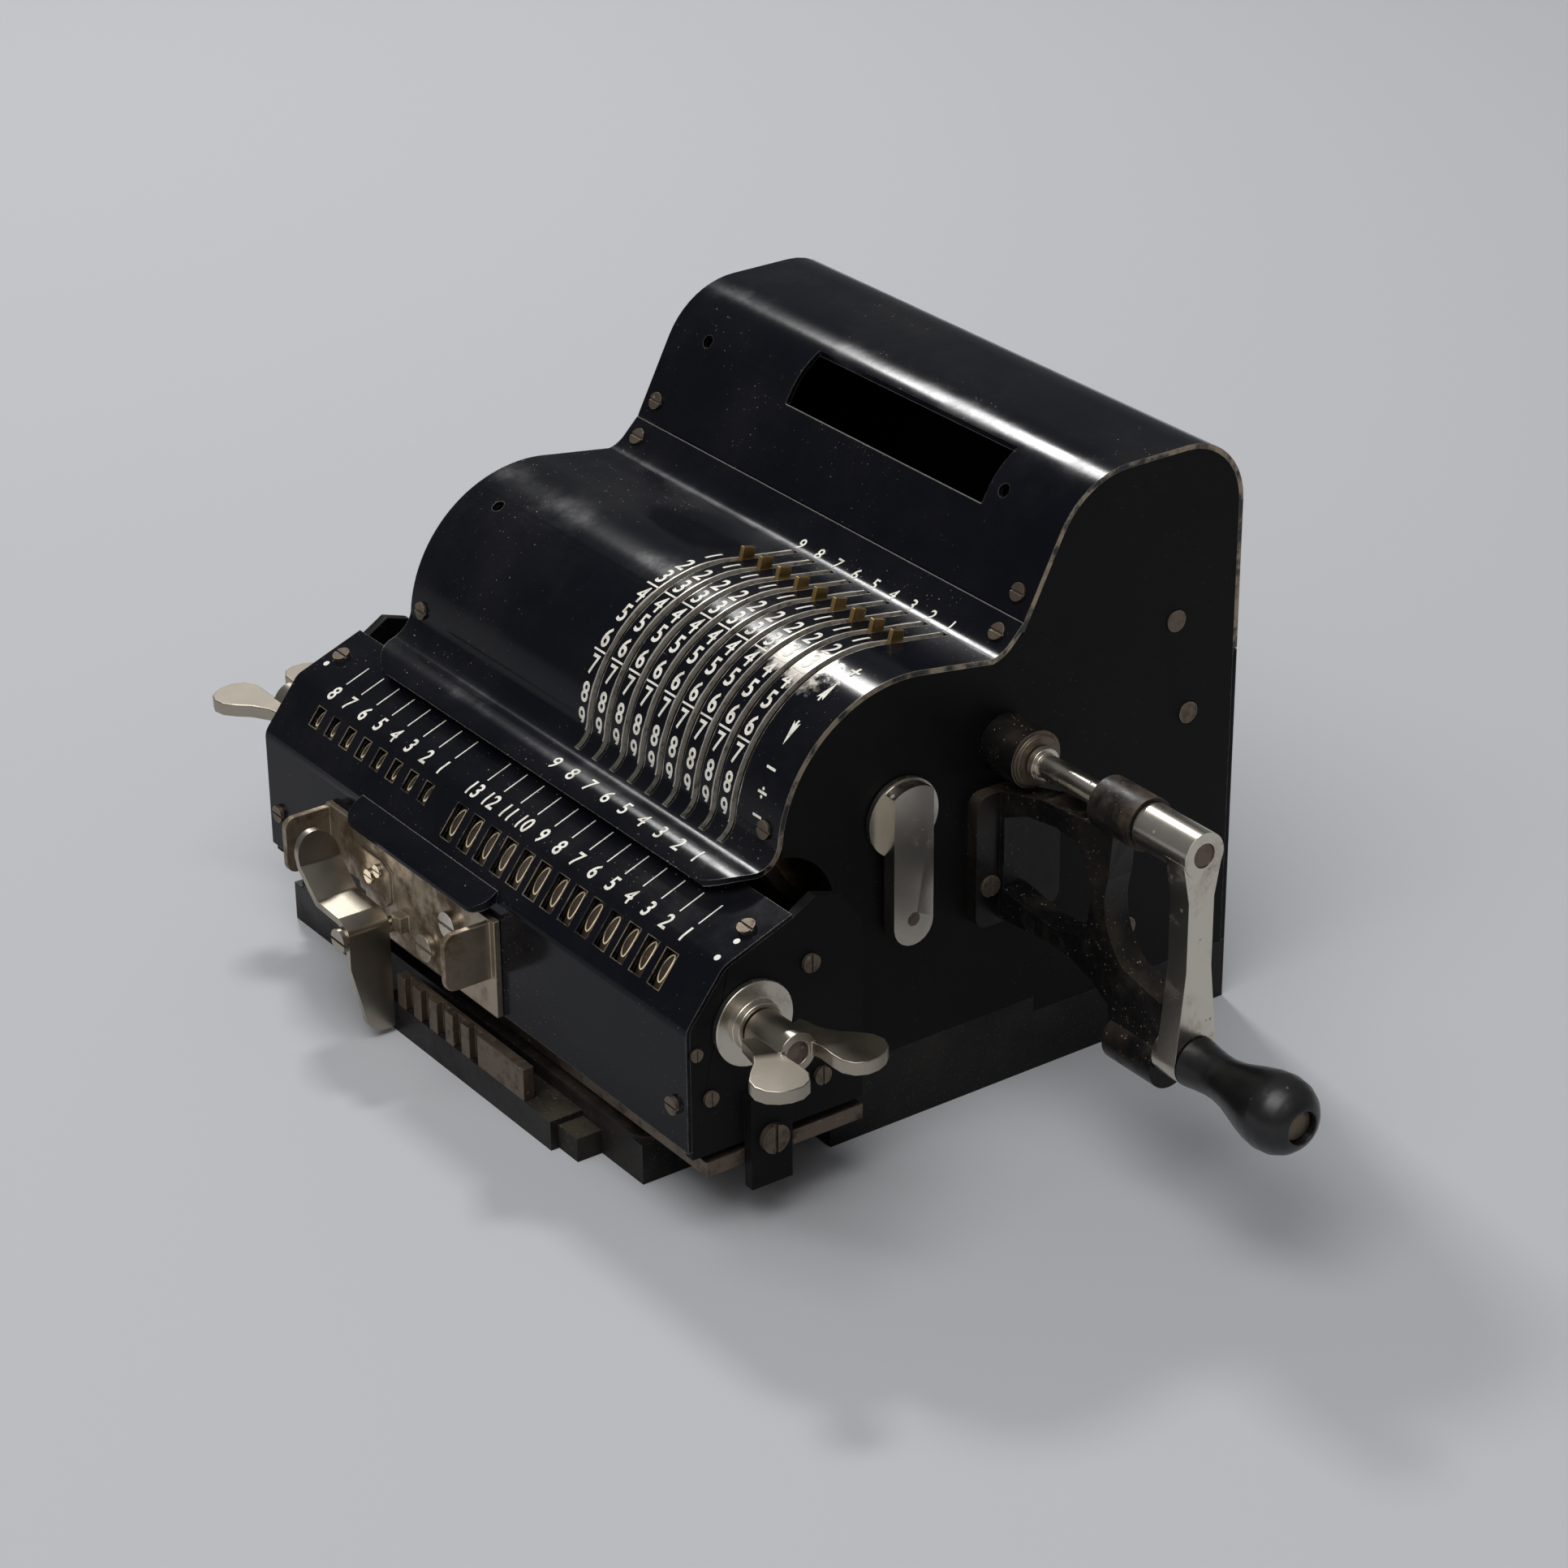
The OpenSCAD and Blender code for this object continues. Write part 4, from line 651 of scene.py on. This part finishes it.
class Marks:
    def __init__(self, name, finish, body, slot=None):
        self.name, self.finish, self.body, self.slot = name, finish, body, slot
        self.verts, self.faces = [], []

    def add(self, flat, surface):
        points, faces = flat
        start = len(self.verts)
        self.verts += [surface(u, v) for u, v in points]
        self.faces += [tuple(start + i for i in face) for face in faces]

    def done(self):
        mesh = bpy.data.meshes.new(self.name)
        mesh.from_pydata([Vector(v) * mm for v in self.verts], [], self.faces)
        mesh.update()
        piece = bpy.data.objects.new(self.name, mesh)
        bpy.context.scene.collection.objects.link(piece)
        coat(piece, self.finish)
        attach(piece, self.body)


def roundSurface(x, centre, radius, angle, lift=0.05):
    def surface(u, v):
        a = math.radians(angle) - v / radius
        return (x + u, centre[0] - (radius + lift) * math.sin(a), centre[1] + (radius + lift) * math.cos(a))
    return surface


def hollowSurface(x, centre, radius, angle, lift=0.06):
    def surface(u, v):
        a = math.radians(angle) + v / radius
        return (x + u, centre[0] + (radius - lift) * math.sin(a), centre[1] - (radius - lift) * math.cos(a))
    return surface


def pathSurface(x, path, start, lift=0.06):
    def surface(u, v):
        left = start + v
        for (ay, az), (by, bz) in zip(path, path[1:]):
            run = math.hypot(by - ay, bz - az)
            if left <= run or (by, bz) == path[-1]:
                t = left / run
                ny, nz = -(bz - az) / run, (by - ay) / run
                return (x + u, ay + (by - ay) * t + ny * lift, az + (bz - az) * t + nz * lift)
            left -= run
    return surface


coverMarks = {
    "digitSize": 6.2, "squeeze": 0.82, "bold": 0.13, "fromSlot": -3.25,
    "angles": (-5.5, 7.5, 17.5, 29.0, 39.0, 50.4, 62.0, 73.0, 83.3), "bars": (23.5, 56.2),
    "barLength": 4.0, "barWidth": 0.45, "lowSize": 5.0, "lowAngle": 17.0, "lowShift": 1.0,
    "lip": ((-67.245, 57.5), 12.0), "highSize": 4.1, "highAngle": 26.0, "highShift": -1.0,
    "hollow": ((-9.3, 107.9), 8.0),
}
signMarks = {
    "size": 6.0, "x": 62.2, "lift": 0.1, "places": (("−", 78.5), ("÷", 69.5), ("−", 60.0), ("+", 12.0)),
}
arrowMark = {"x": 62.0, "angle": 35.0, "lift": 0.12}
marks = Marks("cover_digits", "inlay", "casing")
for slot in range(9):
    x = slotOneX - slot * slotPitch
    for value, angle in enumerate(coverMarks["angles"], 1):
        marks.add(glyph(str(value), coverMarks["digitSize"], coverMarks["squeeze"], coverMarks["bold"]),
                  roundSurface(x + coverMarks["fromSlot"], drumAxis, coverRadius, angle))
    for angle in coverMarks["bars"]:
        half = coverMarks["barLength"] / 2
        marks.add(stroke([(-half, 0), (half, 0)], coverMarks["barWidth"]),
                  roundSurface(x + coverMarks["fromSlot"], drumAxis, coverRadius, angle))
    marks.add(glyph(str(slot + 1), coverMarks["lowSize"]),
              roundSurface(x + coverMarks["lowShift"], *coverMarks["lip"], coverMarks["lowAngle"]))
    marks.add(glyph(str(slot + 1), coverMarks["highSize"]),
              hollowSurface(x + coverMarks["highShift"], *coverMarks["hollow"], coverMarks["highAngle"]))
arrow = [(0, 8.6), (1.0, 3.2), (0.25, 3.9), (0.25, -3.9), (1.0, -3.2),
         (0, -8.6), (-1.0, -3.2), (-0.25, -3.9), (-0.25, 3.9), (-1.0, 3.2)]
arrowFaces = [(0, 9, 8, 2, 1), (8, 7, 3, 2), (7, 6, 5, 4, 3)]
marks.add((arrow, arrowFaces),
          roundSurface(arrowMark["x"], drumAxis, coverRadius, arrowMark["angle"], arrowMark["lift"]))
for sign, angle in signMarks["places"]:
    marks.add(glyph(sign, signMarks["size"]),
              roundSurface(signMarks["x"], drumAxis, coverRadius, angle, signMarks["lift"]))
marks.done()

# carriage: face, bend and roof in one path from the front edge upwards
facePath = [(-92.4, 48.3), (-83.4, 59.9), (-66.8, 66.2)]
bend = {"radius": 4.0, "steps": 8}


def bentPath(points, radius, steps):
    (ay, az), (by, bz), (cy, cz) = points
    into = Vector((by - ay, bz - az)).normalized()
    out = Vector((cy - by, cz - bz)).normalized()
    turn = into.angle(out)
    start = Vector((by, bz)) - into * radius * math.tan(turn / 2)
    inward = Vector((into.y, -into.x))
    path = [(ay, az)]
    for k in range(steps + 1):
        t = turn * k / steps
        p = start + into * radius * math.sin(t) + inward * radius * (1 - math.cos(t))
        path.append((p.x, p.y))
    return path + [(cy, cz)], (start - Vector((ay, az))).length + radius * turn / 2


carriagePath, cornerAt = bentPath(facePath, bend["radius"], bend["steps"])
carriageMarks = {
    "numeralSize": 5.4, "squeeze": 0.9, "bold": 0.1, "numeralUp": 1.4, "tickFrom": 4.7, "tickTo": 11.0,
    "tickWidth": 0.34, "tickHigh": 0.1, "rim": 0.22, "rimShare": 1.3, "windowTop": 11.68,
    "windows": ((3.9, 8.0), (3.0, 4.6)), "dotRadius": 0.75, "dotSides": 16,
    "dots": ((78.5, 6.2), (-80.2, 6.2), (78.8, 1.0)),
}
numerals = Marks("carriage_numerals", "inlay", "carriage")
# x of the first window and the number of windows: result, then counter
registerPlaces = [(67.4, 13), (-23.6, 8)]
for first, count in registerPlaces:
    for digit in range(count):
        flat = glyph(str(digit + 1), *(carriageMarks[k] for k in ("numeralSize", "squeeze", "bold")))
        x = first - digit * slotPitch
        numerals.add(flat, pathSurface(x, carriagePath, cornerAt + carriageMarks["numeralUp"]))
dot = oval(carriageMarks["dotRadius"], carriageMarks["dotRadius"], carriageMarks["dotSides"])
for x, up in carriageMarks["dots"]:
    numerals.add((dot, [tuple(range(len(dot)))]), pathSurface(x, carriagePath, cornerAt + up))
numerals.done()
rims = Marks("window_rims", "rubbedEdge", "carriage", "dark_steel")
for (first, count), (wide, high) in zip(registerPlaces, carriageMarks["windows"]):
    half = wide / 2 + carriageMarks["rim"] / 2
    top = carriageMarks["windowTop"] + carriageMarks["rim"] / 2
    foot = top - high - carriageMarks["rim"]
    for digit in range(count):
        corners = [(-half, foot), (half, foot), (half, top), (-half, top)]
        rims.add(stroke(corners, carriageMarks["rim"] * carriageMarks["rimShare"], True),
                 pathSurface(first - digit * slotPitch, carriagePath, 0.0))
rims.done()


def makeRowTree():
    tree = bpy.data.node_groups.new("markRow", "GeometryNodeTree")
    kinds = {"Count": "NodeSocketInt", "Start": "NodeSocketVector", "Step": "NodeSocketVector",
             "Size": "NodeSocketVector", "Tilt": "NodeSocketVector", "Finish": "NodeSocketMaterial"}
    for title, kind in kinds.items():
        tree.interface.new_socket(title, in_out="INPUT", socket_type=kind)
    tree.interface.new_socket("Geometry", in_out="OUTPUT", socket_type="NodeSocketGeometry")
    source, sink = tree.nodes.new("NodeGroupInput"), tree.nodes.new("NodeGroupOutput")
    line = tree.nodes.new("GeometryNodeMeshLine")
    line.mode = "OFFSET"
    bar = tree.nodes.new("GeometryNodeMeshCube")
    each = tree.nodes.new("GeometryNodeInstanceOnPoints")
    real = tree.nodes.new("GeometryNodeRealizeInstances")
    finish = tree.nodes.new("GeometryNodeSetMaterial")
    wires = (
        (source.outputs["Count"], line.inputs["Count"]),
        (source.outputs["Start"], line.inputs["Start Location"]),
        (source.outputs["Step"], line.inputs["Offset"]),
        (source.outputs["Size"], bar.inputs["Size"]),
        (line.outputs[0], each.inputs["Points"]),
        (bar.outputs[0], each.inputs["Instance"]),
        (source.outputs["Tilt"], each.inputs["Rotation"]),
        (each.outputs[0], real.inputs[0]),
        (real.outputs[0], finish.inputs[0]),
        (source.outputs["Finish"], finish.inputs["Material"]),
        (finish.outputs[0], sink.inputs[0]),
    )
    for a, b in wires:
        tree.links.new(a, b)
    return tree


rowTree = makeRowTree()


def markRow(name, body, finish, count, start, step, size, tilt):
    holder = bpy.data.objects.new(name, bpy.data.meshes.new(name))
    bpy.context.scene.collection.objects.link(holder)
    row = holder.modifiers.new("row", "NODES")
    row.node_group = rowTree
    values = {"Count": count, "Start": [v * mm for v in start], "Step": [v * mm for v in step],
              "Size": [v * mm for v in size], "Tilt": tilt, "Finish": finishes[finish]}
    for item in rowTree.interface.items_tree:
        if item.in_out == "INPUT":
            row[item.identifier] = values[item.name]
    solid = bpy.data.meshes.new_from_object(holder.evaluated_get(bpy.context.evaluated_depsgraph_get()))
    holder.modifiers.remove(row)
    holder.data = solid
    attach(holder, body)


roof = Vector((facePath[2][0] - facePath[1][0], facePath[2][1] - facePath[1][1])).normalized()
tickMid = (carriageMarks["tickFrom"] + carriageMarks["tickTo"]) / 2
tickLong = carriageMarks["tickTo"] - carriageMarks["tickFrom"]
tickAt = (facePath[1][0] + roof.x * tickMid, facePath[1][1] + roof.y * tickMid)
for rowName, (first, count) in zip(("result_ticks", "counter_ticks"), registerPlaces):
    markRow(rowName, "carriage", "inlay", count, (first, tickAt[0], tickAt[1]), (-slotPitch, 0, 0),
            (carriageMarks["tickWidth"], tickLong, carriageMarks["tickHigh"]),
            (math.atan2(roof.y, roof.x), 0, 0))
print("digits and ticks laid")

# number wheels: thin gold digits round each rim, nought in the window
wheelMarks = {
    "result": {"angle": 49.8, "share": 1.0}, "counter": {"angle": 42.3, "share": 0.62}, "shift": -1.3,
    "size": 7.2, "squeeze": 0.6, "swell": -0.04, "line": 0.36, "zero": (1.1, 3.1, 28), "lift": 0.04,
    "turn": 36.0,
}
for name in sorted(n for n in cadNodes if "_wheel_" in n):
    low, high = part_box(name)
    middle = (low.x + high.x) / 2 / mm
    marking = wheelMarks[name.split("_")[0]]
    share = marking["share"]
    ring = Marks(name + "_digits", "gold", cadNodes[name]["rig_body"], "number_wheel")
    x = middle + wheelMarks["shift"]
    for value in range(10):
        if value == 0:
            outline = [(u * share, v * share) for u, v in oval(*wheelMarks["zero"])]
            flat = stroke(outline, wheelMarks["line"], True)
        else:
            flat = glyph(str(value), wheelMarks["size"] * share, wheelMarks["squeeze"], wheelMarks["swell"])
        angle = marking["angle"] + wheelMarks["turn"] * value
        ring.add(flat, roundSurface(x, axleAxis, wheelRadius, angle, wheelMarks["lift"]))
    ring.done()
print("number wheels marked")

# ---- camera, lights and floor ----
view = {
    "place": (671.6, -487.8, 461.7), "azimuth": 54.574, "elevation": 26.864, "roll": -0.562,
    "lens": 96.92, "sensor": 36.0, "clip": (0.05, 30.0),
}


def aimCamera():
    a, e, r = (math.radians(view[k]) for k in ("azimuth", "elevation", "roll"))
    back = Vector((math.sin(a) * math.cos(e), -math.cos(a) * math.cos(e), math.sin(e)))
    right = (-back).cross(Vector((0, 0, 1))).normalized()
    up = right.cross(-back)
    across = right * math.cos(r) + up * math.sin(r)
    above = -right * math.sin(r) + up * math.cos(r)
    data = bpy.data.cameras.new("camera")
    data.lens = view["lens"]
    data.sensor_width = view["sensor"]
    data.sensor_fit = "HORIZONTAL"
    data.clip_start, data.clip_end = view["clip"]
    camera = bpy.data.objects.new("camera", data)
    stand = Matrix((across, above, back)).transposed().to_4x4()
    stand.translation = Vector(view["place"]) * mm
    camera.matrix_world = stand
    bpy.context.scene.collection.objects.link(camera)
    bpy.context.scene.camera = camera


aimCamera()

studio = {
    "floor": (0.495, 0.5, 0.52), "world": 0.17, "key": 9.0, "keyFrom": (-1.02, 0.32, 1.12),
    "keySize": (0.22, 0.11), "top": 36.0, "topFrom": (0.45, -0.85, 2.15), "topSize": (1.8, 1.8),
    "fill": 6.5, "fillFrom": (0.9, -1.6, 1.9), "fillSize": (1.6, 1.6), "sky": (0.95, 0.97, 1.0),
    "aim": (0, -0.02, 0.06), "floorHalf": 6, "floorRough": 0.9, "floorSpecular": 0.1,
}


def softbox(name, spot, size, power):
    data = bpy.data.lights.new(name, "AREA")
    data.shape = "RECTANGLE"
    data.size, data.size_y = size
    data.energy = power
    lamp = bpy.data.objects.new(name, data)
    lamp.location = spot
    lamp.rotation_euler = (Vector(spot) - Vector(studio["aim"])).to_track_quat("Z", "Y").to_euler()
    bpy.context.scene.collection.objects.link(lamp)


softbox("keySoftbox", studio["keyFrom"], studio["keySize"], studio["key"])
softbox("topSoftbox", studio["topFrom"], studio["topSize"], studio["top"])
softbox("fillSoftbox", studio["fillFrom"], studio["fillSize"], studio["fill"])
world = bpy.data.worlds.new("studio")
world.use_nodes = True
world.node_tree.nodes["Background"].inputs[0].default_value = (*studio["sky"], 1.0)
world.node_tree.nodes["Background"].inputs[1].default_value = studio["world"]
bpy.context.scene.world = world

floorMesh = bpy.data.meshes.new("floor")
half = studio["floorHalf"]
corners = [(-half, -half, 0), (half, -half, 0), (half, half, 0), (-half, half, 0)]
floorMesh.from_pydata(corners, [], [(0, 1, 2, 3)])
floor = bpy.data.objects.new("floor", floorMesh)
bpy.context.scene.collection.objects.link(floor)
paper = bpy.data.materials.new("paperFloor")
paper.use_nodes = True
sheet = paper.node_tree.nodes["Principled BSDF"].inputs
sheet["Base Color"].default_value = (*studio["floor"], 1.0)
sheet["Roughness"].default_value = studio["floorRough"]
sheet["Specular IOR Level"].default_value = studio["floorSpecular"]
floorMesh.materials.append(paper)

bpy.context.scene.view_settings.view_transform = "Standard"
